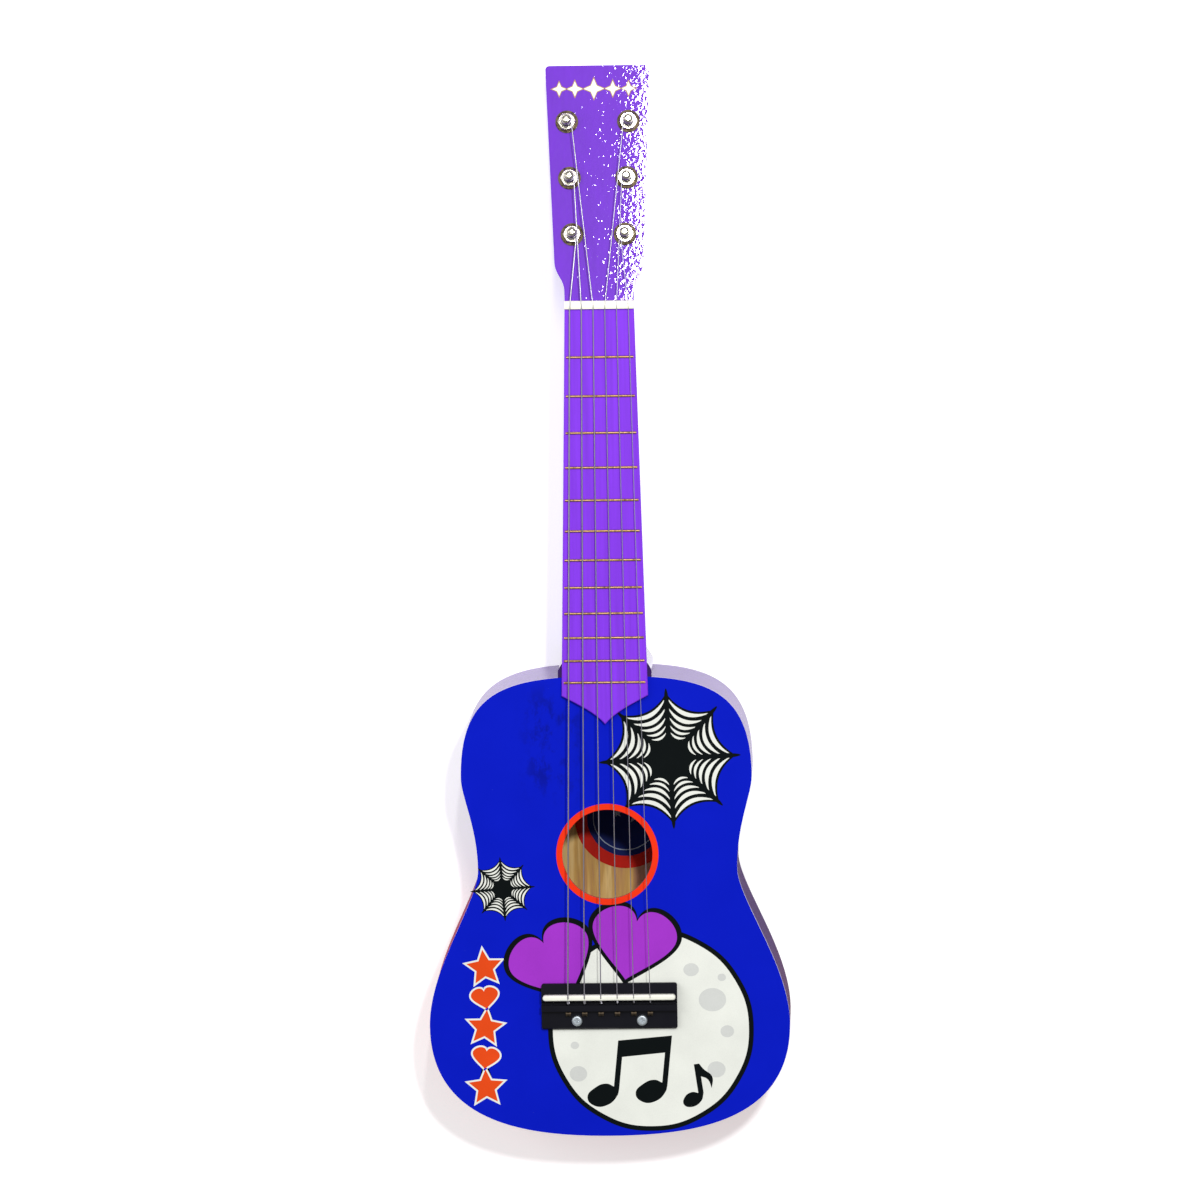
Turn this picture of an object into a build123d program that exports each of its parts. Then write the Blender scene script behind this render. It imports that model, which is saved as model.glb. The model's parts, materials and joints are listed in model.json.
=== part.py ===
from build123d import *
from build123d.topology import SkipClean
from math import asin, atan2, cos, hypot, pi, radians, sin, sqrt, tan
import os

# A small six-string toy guitar lying on its back, in millimetres.
# +Z points out of the soundboard, +Y runs along the strings to the headstock, +X is the treble side.
# The origin is on the outer face of the back plate, straight below the middle of the sound hole.

# ---- body -------------------------------------------------------------------------------------
body_length = 289.0             # neck end to tail end
body_depth = 62.0               # outside of the back plate to the outside of the printed film
sound_hole_setback = 111.6      # neck end of the body to the sound hole axis
upper_bout_width = 180.4
upper_bout_setback = 63.1       # neck end to the widest place of the upper bout
waist_width = 160.9
waist_setback = 121.0           # neck end to the narrowest place
lower_bout_width = 224.2
lower_bout_from_tail = 70.2     # tail end to the widest place of the lower bout
back_thickness = 2.6
side_thickness = 2.5
soundboard_thickness = 2.8
film_thickness = 0.2
sound_hole_diameter = 56.0
lining_width = 5.0
lining_height = 7.0
neck_block_size = (62.0, 22.0)  # across and along the body
tail_block_size = (56.0, 14.0)
brace_width = 7.0
top_brace_height = 9.0
back_brace_height = 8.0
upper_brace_from_hole = 14.0    # edge of the sound hole to the near face of the upper top brace
lower_brace_from_patch = 12.0   # bridge patch to the near face of the lower top brace
back_brace_from_neck_end = 48.0
back_brace_from_tail = 78.0
label_diameter = 64.0
label_thickness = 0.2
label_centre = (10.0, 14.0)     # from the sound hole axis

# ---- neck and fingerboard -----------------------------------------------------------------------
neck_free_length = 228.4        # body to the face of the string nut
neck_thickness = 17.0           # wood behind the fingerboard
neck_cheek = 3.5                # straight part of the neck's side above its rounded back
nut_end_width = 42.6            # fingerboard at the string nut
fingerboard_end_width = 53.4    # fingerboard at its last corners
fingerboard_overlap = 11.8      # how far those corners stand over the body
fingerboard_point = 17.8        # the pointed end beyond the corners
fingerboard_thickness = 4.0
fingerboard_chamfer = 0.5
fret_count = 12
nut_error = 4.4                 # the nut stands this far behind the start of the fret rule
twelfth_fret_overlap = 3.5      # the twelfth fret lies this far inside the edge of the body
fret_crown_width = 1.5
fret_crown_height = 1.0
fret_tang_width = 0.6
fret_tang_depth = 1.8
fret_end_margin = 1.3
nut_thickness = 4.7
heel_width = 58.0               # a little wider than the fingerboard, so its cheeks show beside it
heel_length = 55.0              # along the neck at the top
heel_cap_length = 16.0          # along the neck at the bottom
heel_floor_gap = 5.0            # the heel ends this far above the back of the body
neck_screw_diameter = 4.0
neck_screw_head = (8.0, 2.6)    # diameter and height
neck_screw_grip = 15.0          # length inside the heel
neck_screw_heights = (29.0, 45.0)

# ---- headstock ----------------------------------------------------------------------------------
headstock_tilt = 12.0           # degrees backwards
headstock_length = 146.0
headstock_thickness = 12.0
headstock_end_width = 64.4
headstock_shoulder_width = 54.8
headstock_shoulder = 24.0       # from the string nut
headstock_throat = 4.5          # from the string nut to where the flare starts
headstock_corner = 2.5
peg_rows = (41.0, 76.0, 111.0)  # from the string nut
peg_edge_distance = 11.8        # peg axis to the edge of the headstock

# ---- tuning pegs, one friction peg for each string ------------------------------------------------
peg_diameter = 6.0
peg_waist_diameter = 5.0        # where the string winds
peg_height = 14.0               # above the face of the headstock
peg_running_clearance = 0.05    # radial, in the sleeve
peg_end_play = 0.35             # between turning and standing faces
peg_collar = (7.6, 0.9)         # diameter and height
peg_cap_height = 2.2
peg_drive = 3.6                 # square end that carries the button
peg_drive_length = 8.0
drive_clearance = 0.05
string_hole_diameter = 1.8
sleeve_diameter = 8.0
sleeve_flange = (13.0, 1.5)
hex_nut_across_flats = 10.0
hex_nut_height = 2.6
washer_diameter = 14.0
washer_thickness = 0.8
spring_washer = (12.0, 0.9)     # diameter and thickness
button_length = 16.5
button_width = 18.0
button_thickness = 8.5
button_neck = (10.4, 3.0)       # diameter and length
peg_screw_diameter = 2.0
peg_screw_head = (5.2, 1.3)
peg_screw_grip = 5.5

# ---- bridge -------------------------------------------------------------------------------------
bridge_setback = 88.7           # sound hole axis to the middle of the saddle
bridge_length = 84.4            # across the strings
bridge_front = 8.0              # saddle to the edge that faces the sound hole
bridge_rear = 20.7              # saddle to the edge that faces the tail
bridge_ridge_height = 6.2
tie_block_height = 7.2
tie_block_start = 5.0           # behind the saddle
tie_block_depth = 3.8
bridge_flange_height = 3.2
tie_hole_diameter = 1.6
tie_hole_height = 4.9
saddle_length = 82.5
saddle_thickness = 3.5
saddle_slot_depth = 3.0
saddle_string_pitch = 10.2
bridge_patch_margin = 4.0       # patch beyond the bridge all round
bridge_patch_thickness = 3.0
bridge_screw_diameter = 3.0
bridge_screw_head = (6.7, 1.9)
bridge_screw_spacing = 40.5
bridge_screw_behind_saddle = 15.2
bridge_washer = (8.0, 0.6)
bridge_nut = (5.5, 2.4)         # across flats and height
bridge_screw_spare = 1.2        # thread that shows past the nut

# ---- strings --------------------------------------------------------------------------------------
string_diameters = (0.45, 0.50, 0.60, 0.70, 0.80, 0.90)  # from the first, on the treble side
string_over_nut = 6.3           # string axis above the neck wood at the nut
string_over_saddle = 10.5       # string axis above the soundboard at the saddle
nut_edge_to_string = 3.3        # outer strings from the ends of the nut
groove_clearance = 0.03
winding_turns = (2, 3, 3)       # on the pegs of each row, from the nut
winding_start = (0.15, 2.4, 2.4)  # above the collar, in each row
string_gap = 0.35               # between a string and the turning winding it runs on to
string_bend = 2.5               # radius at the saddle and at the tie hole
nut_bend = 12.0                 # radius over the nut
ball_end = (3.4, 3.2)           # diameter and length
ball_end_groove = 0.4
string_out_of_hole = 0.4        # straight run before the string turns up to the saddle
nut_crest = 1.3                 # from the nut's face to where the string bends down

# ---- places that follow from these -----------------------------------------------------------------
neck_end_y = sound_hole_setback
tail_end_y = sound_hole_setback - body_length
upper_bout_y = neck_end_y - upper_bout_setback
waist_y = neck_end_y - waist_setback
lower_bout_y = tail_end_y + lower_bout_from_tail
rim_top_z = body_depth - film_thickness - soundboard_thickness
nut_face_y = neck_end_y + neck_free_length
headstock_start_y = nut_face_y + nut_thickness
fingerboard_corner_y = neck_end_y - fingerboard_overlap
fingerboard_top_z = body_depth + fingerboard_thickness
fret_rule_start_y = nut_face_y - nut_error
fret_rule_length = 2 * (fret_rule_start_y - (neck_end_y - twelfth_fret_overlap))
saddle_y = -bridge_setback
nut_string_pitch = (nut_end_width - 2 * nut_edge_to_string) / 5
bridge_screw_y = saddle_y - bridge_screw_behind_saddle
patch_front_y = saddle_y + bridge_front + bridge_patch_margin
patch_rear_y = saddle_y - bridge_rear - bridge_patch_margin

headstock_face = Plane(
    origin=(0, headstock_start_y, body_depth),
    x_dir=(1, 0, 0),
    z_dir=(0, sin(radians(headstock_tilt)), cos(radians(headstock_tilt))),
)


# ---- small helpers ------------------------------------------------------------------------------------
def slab(face, bottom, top):
    """A flat face of the XY plane raised to a solid between two heights."""
    return Pos(0, 0, bottom) * extrude(face, top - bottom)


def disc(diameter, bottom, top, x=0.0, y=0.0):
    """An upright cylinder between two heights."""
    return Pos(x, y, (bottom + top) / 2) * Cylinder(diameter / 2, top - bottom)


def block(x_range, y_range, z_range):
    """A box between three pairs of limits."""
    sizes = [r[1] - r[0] for r in (x_range, y_range, z_range)]
    middle = [(r[0] + r[1]) / 2 for r in (x_range, y_range, z_range)]
    return Pos(*middle) * Box(*sizes)


def side_profile(points):
    """A face in the YZ plane, from (y, z) points."""
    return make_face(Polyline([(0, y, z) for y, z in points], close=True))


def across(face, width):
    """A face of the YZ plane pushed out evenly to both sides."""
    return extrude(face, width / 2, dir=(1, 0, 0), both=True)


def group(pieces):
    """Separate solids kept together in one node."""
    solids = []
    for piece in pieces:
        solids.extend(piece.solids())
    return Compound(children=solids)


# ---- body ---------------------------------------------------------------------------------------------
def body_outline(inset=0.0):
    """The figure-of-eight plan of the body, or the same plan a wall's thickness further in."""
    upper, waist, lower = (width / 2 - inset for width in (upper_bout_width, waist_width, lower_bout_width))
    neck_end, tail_end = neck_end_y - inset, tail_end_y + inset
    shoulder, tail = neck_end - upper_bout_y, lower_bout_y - tail_end
    upper_run, lower_run = upper_bout_y - waist_y, waist_y - lower_bout_y
    half = [
        Bezier((0, neck_end), (0.66 * upper, neck_end),
               (upper, upper_bout_y + 0.9 * shoulder), (upper, upper_bout_y)),
        Bezier((upper, upper_bout_y), (upper, upper_bout_y - 0.2 * upper_run),
               (waist, waist_y + 0.48 * upper_run), (waist, waist_y)),
        Bezier((waist, waist_y), (waist, waist_y - 0.2 * lower_run),
               (lower, lower_bout_y + 0.37 * lower_run), (lower, lower_bout_y)),
        Bezier((lower, lower_bout_y), (lower, lower_bout_y - 0.9 * tail),
               (0.44 * lower, tail_end), (0, tail_end)),
    ]
    return make_face(half + [edge.mirror(Plane.YZ) for edge in half])


def body_half(side):
    """All the space on one side of the centre line."""
    reach = body_length
    return block((0, reach), (-reach, reach), (-reach, reach)) if side > 0 else block(
        (-reach, 0), (-reach, reach), (-reach, reach))


def make_blocks():
    """The neck block and the tail block, shaped to the inside of the rim."""
    inside = slab(body_outline(side_thickness), back_thickness, rim_top_z)
    width, depth = neck_block_size
    rim_y = neck_end_y - side_thickness
    neck_block = inside & block((-width / 2, width / 2), (rim_y - depth, neck_end_y), (0, body_depth))
    width, depth = tail_block_size
    rim_y = tail_end_y + side_thickness
    tail_block = inside & block((-width / 2, width / 2), (tail_end_y, rim_y + depth), (0, body_depth))
    return neck_block, tail_block


def make_linings(bottom, top, blocks):
    """The two strips that thicken one edge of the rim between the end blocks."""
    ring = slab(body_outline(side_thickness) - body_outline(side_thickness + lining_width), bottom, top)
    for end_block in blocks:
        ring = ring - end_block
    return group([ring & body_half(1), ring & body_half(-1)])


def make_brace(near_y, far_y, bottom, top):
    """A bar across the inside that ends against the linings."""
    inside = slab(body_outline(side_thickness + lining_width), bottom, top)
    return inside & block((-body_length, body_length), (near_y, far_y), (bottom, top))


def bridge_screw_places():
    return [(-bridge_screw_spacing / 2, bridge_screw_y), (bridge_screw_spacing / 2, bridge_screw_y)]


def neck_screw_axis(height):
    """Where a neck screw starts, on the inner face of the neck block."""
    return 0.0, neck_end_y - side_thickness - neck_block_size[1], height


def neck_screw_hole(height):
    x, y, z = neck_screw_axis(height)
    length = neck_block_size[1] + side_thickness + neck_screw_grip
    return Pos(x, y + length / 2, z) * Rot(90, 0, 0) * Cylinder(neck_screw_diameter / 2, length)


def make_body():
    outline = body_outline()
    hole = Circle(sound_hole_diameter / 2)
    neck_block, tail_block = make_blocks()
    neck_holes = [neck_screw_hole(height) for height in neck_screw_heights]
    ring = slab(outline - body_outline(side_thickness), back_thickness, rim_top_z)

    soundboard = slab(outline - hole, rim_top_z, rim_top_z + soundboard_thickness)
    film = slab(outline - hole, body_depth - film_thickness, body_depth)
    patch = block(
        (-bridge_length / 2 - bridge_patch_margin, bridge_length / 2 + bridge_patch_margin),
        (patch_rear_y, patch_front_y), (rim_top_z - bridge_patch_thickness, rim_top_z))
    for x, y in bridge_screw_places():
        drill = disc(bridge_screw_diameter, 0, body_depth, x, y)
        soundboard, film, patch = soundboard - drill, film - drill, patch - drill

    upper_brace_y = sound_hole_diameter / 2 + upper_brace_from_hole
    lower_brace_y = patch_front_y + lower_brace_from_patch
    top_brace_z = (rim_top_z - top_brace_height, rim_top_z)
    back_brace_z = (back_thickness, back_thickness + back_brace_height)
    back_upper_y = neck_end_y - back_brace_from_neck_end
    back_lower_y = tail_end_y + back_brace_from_tail
    label_z = (back_thickness, back_thickness + label_thickness)
    for neck_hole in neck_holes:
        neck_block, ring = neck_block - neck_hole, ring - neck_hole
    return {
        "top_film": film,
        "soundboard": soundboard,
        "back_plate": slab(outline, 0, back_thickness),
        "side_bass": ring & body_half(-1),
        "side_treble": ring & body_half(1),
        "top_linings": make_linings(rim_top_z - lining_height, rim_top_z, make_blocks()),
        "back_linings": make_linings(back_thickness, back_thickness + lining_height, make_blocks()),
        "neck_block": neck_block,
        "tail_block": tail_block,
        "top_brace_upper": make_brace(upper_brace_y, upper_brace_y + brace_width, *top_brace_z),
        "top_brace_lower": make_brace(lower_brace_y, lower_brace_y + brace_width, *top_brace_z),
        "back_brace_upper": make_brace(back_upper_y - brace_width, back_upper_y, *back_brace_z),
        "back_brace_lower": make_brace(back_lower_y, back_lower_y + brace_width, *back_brace_z),
        "bridge_patch": patch,
        "inside_label": disc(label_diameter, *label_z, *label_centre),
    }


# ---- neck ---------------------------------------------------------------------------------------------
def neck_width(y):
    """Width of the neck and fingerboard, which widen evenly from the nut to the body."""
    share = (nut_face_y - y) / (nut_face_y - fingerboard_corner_y)
    return nut_end_width + share * (fingerboard_end_width - nut_end_width)


def neck_section(y, width, top, thickness):
    """A D-shaped section of the neck: flat top, short straight cheeks and a rounded back."""
    half, cheek, back = width / 2, top - neck_cheek, top - thickness
    bulge = 0.55
    edges = [
        Line((-half, y, top), (half, y, top)),
        Line((half, y, top), (half, y, cheek)),
        Bezier((half, y, cheek), (half, y, cheek - bulge * (cheek - back)),
               (bulge * half, y, back), (0, y, back)),
        Bezier((0, y, back), (-bulge * half, y, back),
               (-half, y, cheek - bulge * (cheek - back)), (-half, y, cheek)),
        Line((-half, y, cheek), (-half, y, top)),
    ]
    return make_face(edges)


def headstock_half_width(distance):
    """Half the width of the headstock beyond its shoulder."""
    share = (distance - headstock_shoulder) / (headstock_length - headstock_shoulder)
    return (headstock_shoulder_width + share * (headstock_end_width - headstock_shoulder_width)) / 2


def headstock_outline():
    """The flat plan of the headstock: throat, hollow flare, then straight sides that widen."""
    throat, shoulder, end = nut_end_width / 2, headstock_shoulder_width / 2, headstock_end_width / 2
    flare = headstock_shoulder - headstock_throat
    half = [
        Line((throat, 0), (throat, headstock_throat)),
        Bezier((throat, headstock_throat), (throat, headstock_throat + 0.5 * flare),
               (shoulder - 0.02 * flare, headstock_shoulder - 0.45 * flare), (shoulder, headstock_shoulder)),
        Line((shoulder, headstock_shoulder), (end, headstock_length)),
        Line((end, headstock_length), (0, headstock_length)),
    ]
    edges = half + [edge.mirror(Plane.YZ) for edge in half] + [Line((-throat, 0), (throat, 0))]
    plan = make_face(edges)
    corners = plan.vertices().filter_by(lambda v: abs(v.Y - headstock_length) < 0.01 and abs(v.X) > 1)
    return fillet(corners, headstock_corner)


def make_heel():
    """The deep foot of the neck that stands against the end of the body."""
    foot, reach = neck_end_y - 2, neck_end_y + heel_length
    cap, shaft_back = neck_end_y + heel_cap_length, body_depth - neck_thickness + 1.5
    profile = make_face([
        Line((0, foot, body_depth), (0, foot, heel_floor_gap)),
        Line((0, foot, heel_floor_gap), (0, cap, heel_floor_gap)),
        Bezier((0, cap, heel_floor_gap), (0, cap + 5, 0.62 * shaft_back),
               (0, cap + 14, shaft_back), (0, reach, shaft_back)),
        Line((0, reach, shaft_back), (0, reach, body_depth)),
        Line((0, reach, body_depth), (0, foot, body_depth)),
    ])
    half = heel_width / 2
    plan = make_face([
        Line((-half, foot), (half, foot)),
        Line((half, foot), (half, neck_end_y + 3)),
        Bezier((half, neck_end_y + 3), (half, neck_end_y + 0.12 * heel_length),
               (0.6 * half, neck_end_y + 0.3 * heel_length), (0, reach)),
        Bezier((0, reach), (-0.6 * half, neck_end_y + 0.3 * heel_length),
               (-half, neck_end_y + 0.12 * heel_length), (-half, neck_end_y + 3)),
        Line((-half, neck_end_y + 3), (-half, foot)),
    ])
    return across(profile, heel_width) & slab(plan, 0, body_depth)


def peg_places():
    """Peg axes on the headstock's face for strings 1 to 6."""
    places = []
    for number in range(1, 7):
        row = min(number, 7 - number) - 1
        side = 1 if number <= 3 else -1
        distance = peg_rows[row]
        places.append((side * (headstock_half_width(distance) - peg_edge_distance), distance, row))
    return places


def make_neck():
    """Heel, shaft and headstock in one piece of wood."""
    heel_section = neck_section(neck_end_y - 2, neck_width(neck_end_y - 2), body_depth, neck_thickness)
    nut_section = neck_section(headstock_start_y, nut_end_width, body_depth, neck_thickness)
    shaft = loft([heel_section, nut_section])
    blend = 30.0
    drop = blend * tan(radians(headstock_tilt))
    inner_section = neck_section(headstock_start_y + blend, nut_end_width + 1, body_depth - drop,
                                 headstock_thickness / cos(radians(headstock_tilt)) - 0.6)
    volute = loft([nut_section, inner_section])
    plate = headstock_face * slab(headstock_outline(), -headstock_thickness, 0)
    above_face = headstock_face * Pos(0, headstock_length / 2, 20) * Box(100, headstock_length + 20, 40)
    beside_nut = block((-50, 50), (0, headstock_start_y), (0, 2 * body_depth))
    neck = shaft + make_heel() + plate + (volute - (above_face - beside_nut))
    for x, distance, row in peg_places():
        bore = disc(sleeve_diameter, -2 * headstock_thickness, headstock_thickness, x, distance)
        neck = neck - headstock_face * bore
    for height in neck_screw_heights:
        neck = neck - neck_screw_hole(height)
    return neck


def fret_places():
    """Distances of the frets along Y by the twelfth-root rule."""
    return [fret_rule_start_y - fret_rule_length * (1 - 2 ** (-n / 12)) for n in range(1, fret_count + 1)]


def make_fret_tang(y):
    """The thin tang of one fret, which is also the slot that holds it."""
    half = neck_width(y) / 2 - fret_end_margin
    return block((-half, half), (y - fret_tang_width / 2, y + fret_tang_width / 2),
                 (fingerboard_top_z - fret_tang_depth, fingerboard_top_z))


def make_fret(y):
    """One fret: a rounded crown on its tang."""
    half = neck_width(y) / 2 - fret_end_margin
    front = (0, y - fret_crown_width / 2, fingerboard_top_z)
    back = (0, y + fret_crown_width / 2, fingerboard_top_z)
    crest = (0, y, fingerboard_top_z + fret_crown_height)
    crown = make_face([Line(front, back), ThreePointArc(back, crest, front)])
    return across(crown, 2 * half) + make_fret_tang(y)


def make_fingerboard():
    """A tapered board with slots for the frets and a pointed end over the body."""
    nut_half, corner_half = nut_end_width / 2, fingerboard_end_width / 2
    tip_y = fingerboard_corner_y - fingerboard_point
    half = [
        Line((0, nut_face_y), (nut_half, nut_face_y)),
        Line((nut_half, nut_face_y), (corner_half, fingerboard_corner_y)),
        Bezier((corner_half, fingerboard_corner_y),
               (0.7 * corner_half, fingerboard_corner_y - 0.25 * fingerboard_point),
               (0.25 * corner_half, fingerboard_corner_y - 0.55 * fingerboard_point), (0, tip_y)),
    ]
    plan = make_face(half + [edge.mirror(Plane.YZ) for edge in half])
    board = slab(plan, body_depth, fingerboard_top_z)
    rim = board.edges().filter_by(lambda e: e.center().Z > fingerboard_top_z - 0.01
                                  and e.center().Y < nut_face_y - 0.01)
    board = chamfer(rim, fingerboard_chamfer)
    for y in fret_places():
        board = board - make_fret_tang(y)
    return board


def make_string_nut(grooves):
    """The cream bar at the head of the fingerboard, with one groove for each string."""
    top = body_depth + string_over_nut
    fall = nut_thickness * tan(radians(headstock_tilt)) * 0.9
    profile = side_profile([
        (nut_face_y, body_depth), (headstock_start_y, body_depth),
        (headstock_start_y, top - fall), (nut_face_y + 1.2, top), (nut_face_y, top)])
    return across(profile, nut_end_width) - grooves


def make_neck_screws():
    screws = []
    for height in neck_screw_heights:
        x, y, z = neck_screw_axis(height)
        head = Pos(x, y - neck_screw_head[1] / 2, z) * Rot(90, 0, 0) * Cylinder(
            neck_screw_head[0] / 2, neck_screw_head[1])
        slot = Pos(x, y - neck_screw_head[1], z) * Box(1.0, 1.6, neck_screw_head[0] * 1.1)
        screws.append(head - slot + neck_screw_hole(height))
    return group(screws)


# ---- bridge -------------------------------------------------------------------------------------------
def make_bridge_base():
    """The black block: bevelled ridge with the saddle slot, a trough, the tie block and a flange."""
    y, z = saddle_y, body_depth
    tie_front, tie_rear = y - tie_block_start, y - tie_block_start - tie_block_depth
    trough = tie_hole_height - tie_hole_diameter / 2 - 0.1
    profile = side_profile([
        (y + bridge_front, z), (y + bridge_front, z + 2.4), (y + 3.4, z + bridge_ridge_height),
        (y - 2.6, z + bridge_ridge_height), (y - 3.6, z + trough), (tie_front, z + trough),
        (tie_front, z + tie_block_height), (tie_rear, z + tie_block_height),
        (tie_rear, z + bridge_flange_height), (y - bridge_rear + 1, z + bridge_flange_height),
        (y - bridge_rear, z + bridge_flange_height - 1), (y - bridge_rear, z)])
    base = across(profile, bridge_length)
    corners = base.edges().filter_by(Axis.Z).filter_by(
        lambda e: abs(abs(e.center().X) - bridge_length / 2) < 0.01
        and (e.center().Y > y + bridge_front - 0.01 or e.center().Y < y - bridge_rear + 0.01))
    base = fillet(corners, 1.5)
    slot = Pos(0, y, 0) * SlotOverall(saddle_length, saddle_thickness)
    base = base - slab(slot, z + bridge_ridge_height - saddle_slot_depth, z + 2 * bridge_ridge_height)
    for number in range(1, 7):
        hole = Pos(saddle_string_x(number), tie_front - tie_block_depth / 2, z + tie_hole_height)
        base = base - hole * Rot(90, 0, 0) * Cylinder(tie_hole_diameter / 2, tie_block_depth + 1)
    for x, screw_y in bridge_screw_places():
        base = base - disc(bridge_screw_diameter, 0, 2 * body_depth, x, screw_y)
    return base


def make_saddle(grooves):
    """A white bar with rounded ends and a rounded crown, grooved for the strings."""
    bottom = body_depth + bridge_ridge_height - saddle_slot_depth
    top = body_depth + string_over_saddle - 0.3
    bar = slab(Pos(0, saddle_y, 0) * SlotOverall(saddle_length, saddle_thickness), bottom, top)
    bar = fillet(bar.edges().filter_by(lambda e: e.center().Z > top - 0.01), 1.2)
    return bar - grooves


def make_bridge_fasteners():
    """Screws down through the bridge and soundboard, with washers and hexagon nuts inside."""
    under = rim_top_z - bridge_patch_thickness
    washer_bottom = under - bridge_washer[1]
    nut_bottom = washer_bottom - bridge_nut[1]
    head_bottom = body_depth + bridge_flange_height
    screws, washers, nuts = [], [], []
    for x, y in bridge_screw_places():
        head = disc(bridge_screw_head[0], head_bottom, head_bottom + bridge_screw_head[1], x, y)
        head = fillet(head.edges().sort_by(Axis.Z)[-1], 1.2)
        recess_z = head_bottom + bridge_screw_head[1]
        for turn in (0, 90):
            head = head - Pos(x, y, recess_z) * Rot(0, 0, turn) * Box(3.6, 0.8, 2.0)
        screws.append(head + disc(bridge_screw_diameter, nut_bottom - bridge_screw_spare, head_bottom, x, y))
        bore = disc(bridge_screw_diameter, 0, body_depth, x, y)
        washers.append(disc(bridge_washer[0], washer_bottom, under, x, y) - bore)
        hexagon = Pos(x, y, 0) * RegularPolygon(bridge_nut[0] / 2, 6, major_radius=False)
        nuts.append(slab(hexagon, nut_bottom, washer_bottom) - bore)
    return group(screws), group(washers), group(nuts)


# ---- strings ------------------------------------------------------------------------------------------
def saddle_string_x(number):
    return (3.5 - number) * saddle_string_pitch


def nut_string_x(number):
    return (3.5 - number) * nut_string_pitch


def collar_top():
    return washer_thickness + hex_nut_height + peg_end_play + peg_collar[1]


def winding_range(number):
    """Lowest and highest height of the turns on a peg, above the headstock's face."""
    row = peg_places()[number - 1][2]
    low = collar_top() + winding_start[row]
    return low, low + winding_turns[row] * string_diameters[number - 1]


def string_route(number):
    """Tie hole, saddle, nut and the end beside the winding, as points on the string's axis."""
    diameter = string_diameters[number - 1]
    tie_rear = saddle_y - tie_block_start - tie_block_depth
    tie_z = body_depth + tie_hole_height
    start = Vector(saddle_string_x(number), tie_rear, tie_z)
    hole_mouth = Vector(saddle_string_x(number), saddle_y - tie_block_start + string_out_of_hole, tie_z)
    saddle = Vector(saddle_string_x(number), saddle_y, body_depth + string_over_saddle)
    nut = Vector(nut_string_x(number), nut_face_y + nut_crest, body_depth + string_over_nut)

    local = headstock_face.to_local_coords(nut)
    peg_x, peg_s, row = peg_places()[number - 1]
    winding_axis = peg_waist_diameter / 2 + diameter / 2
    dx, ds = peg_x - local.X, peg_s - local.Y
    reach = hypot(dx, ds)
    inward = 1 if peg_x > 0 else -1
    heading = atan2(ds, dx) + inward * asin(winding_axis / reach)
    touch = sqrt(reach ** 2 - winding_axis ** 2)
    clear = sqrt((winding_axis + diameter / 2 + string_gap) ** 2 - (peg_waist_diameter / 2) ** 2)
    length = touch - clear
    top_turn = winding_range(number)[1] - diameter / 2
    height = local.Z + (top_turn - local.Z) * length / touch
    end = headstock_face.from_local_coords(
        (local.X + length * cos(heading), local.Y + length * sin(heading), height))
    return [start, hole_mouth, saddle, nut, Vector(end)]


def string_path(number):
    return FilletPolyline(*string_route(number), radius=[string_bend, string_bend, nut_bend])


def string_tube(number, clearance=0.0):
    """A round string along its route, or the slightly larger tube that grooves it."""
    path = string_path(number)
    section = Plane(origin=path @ 0, z_dir=path % 0) * Circle(string_diameters[number - 1] / 2 + clearance)
    return sweep(section, path=path)


def make_ball_end(number):
    """The small spool that stops a string behind the tie block."""
    diameter, length = ball_end
    y = saddle_y - tie_block_start - tie_block_depth - diameter / 2
    groove = Cylinder(diameter, length / 3) - Cylinder(diameter / 2 - ball_end_groove, length / 3)
    spool = Cylinder(diameter / 2, length) - groove
    return Pos(saddle_string_x(number), y, body_depth + tie_hole_height) * Rot(0, 90, 0) * spool


# ---- tuning pegs, in the frame of one peg: origin on the headstock's face, +Z along the axis ---------------
def peg_frame(number):
    x, distance, row = peg_places()[number - 1]
    return headstock_face * Pos(x, distance, 0)


def rear_face():
    """Height of the standing face that the button turns against."""
    return -headstock_thickness - sleeve_flange[1] - spring_washer[1]


def make_sleeve():
    bore = peg_diameter + 2 * peg_running_clearance
    tube = disc(sleeve_diameter, -headstock_thickness, washer_thickness + hex_nut_height)
    flange = disc(sleeve_flange[0], -headstock_thickness - sleeve_flange[1], -headstock_thickness)
    return tube + flange - disc(bore, -50, 50)


def make_peg_washer():
    return disc(washer_diameter, 0, washer_thickness) - disc(sleeve_diameter, -1, 5)


def make_peg_hex_nut():
    top = washer_thickness + hex_nut_height
    prism = slab(RegularPolygon(hex_nut_across_flats / 2, 6, major_radius=False), washer_thickness, top)
    cone = Pos(0, 0, washer_thickness + hex_nut_height / 2) * Cone(
        hex_nut_across_flats / 2 * 1.35, hex_nut_across_flats / 2 * 0.98, hex_nut_height)
    return (prism & cone) - disc(sleeve_diameter, -1, 10)


def make_spring_washer():
    bore = peg_diameter + 2 * peg_end_play
    return disc(spring_washer[0], rear_face(), rear_face() + spring_washer[1]) - disc(bore, -50, 0)


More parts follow.
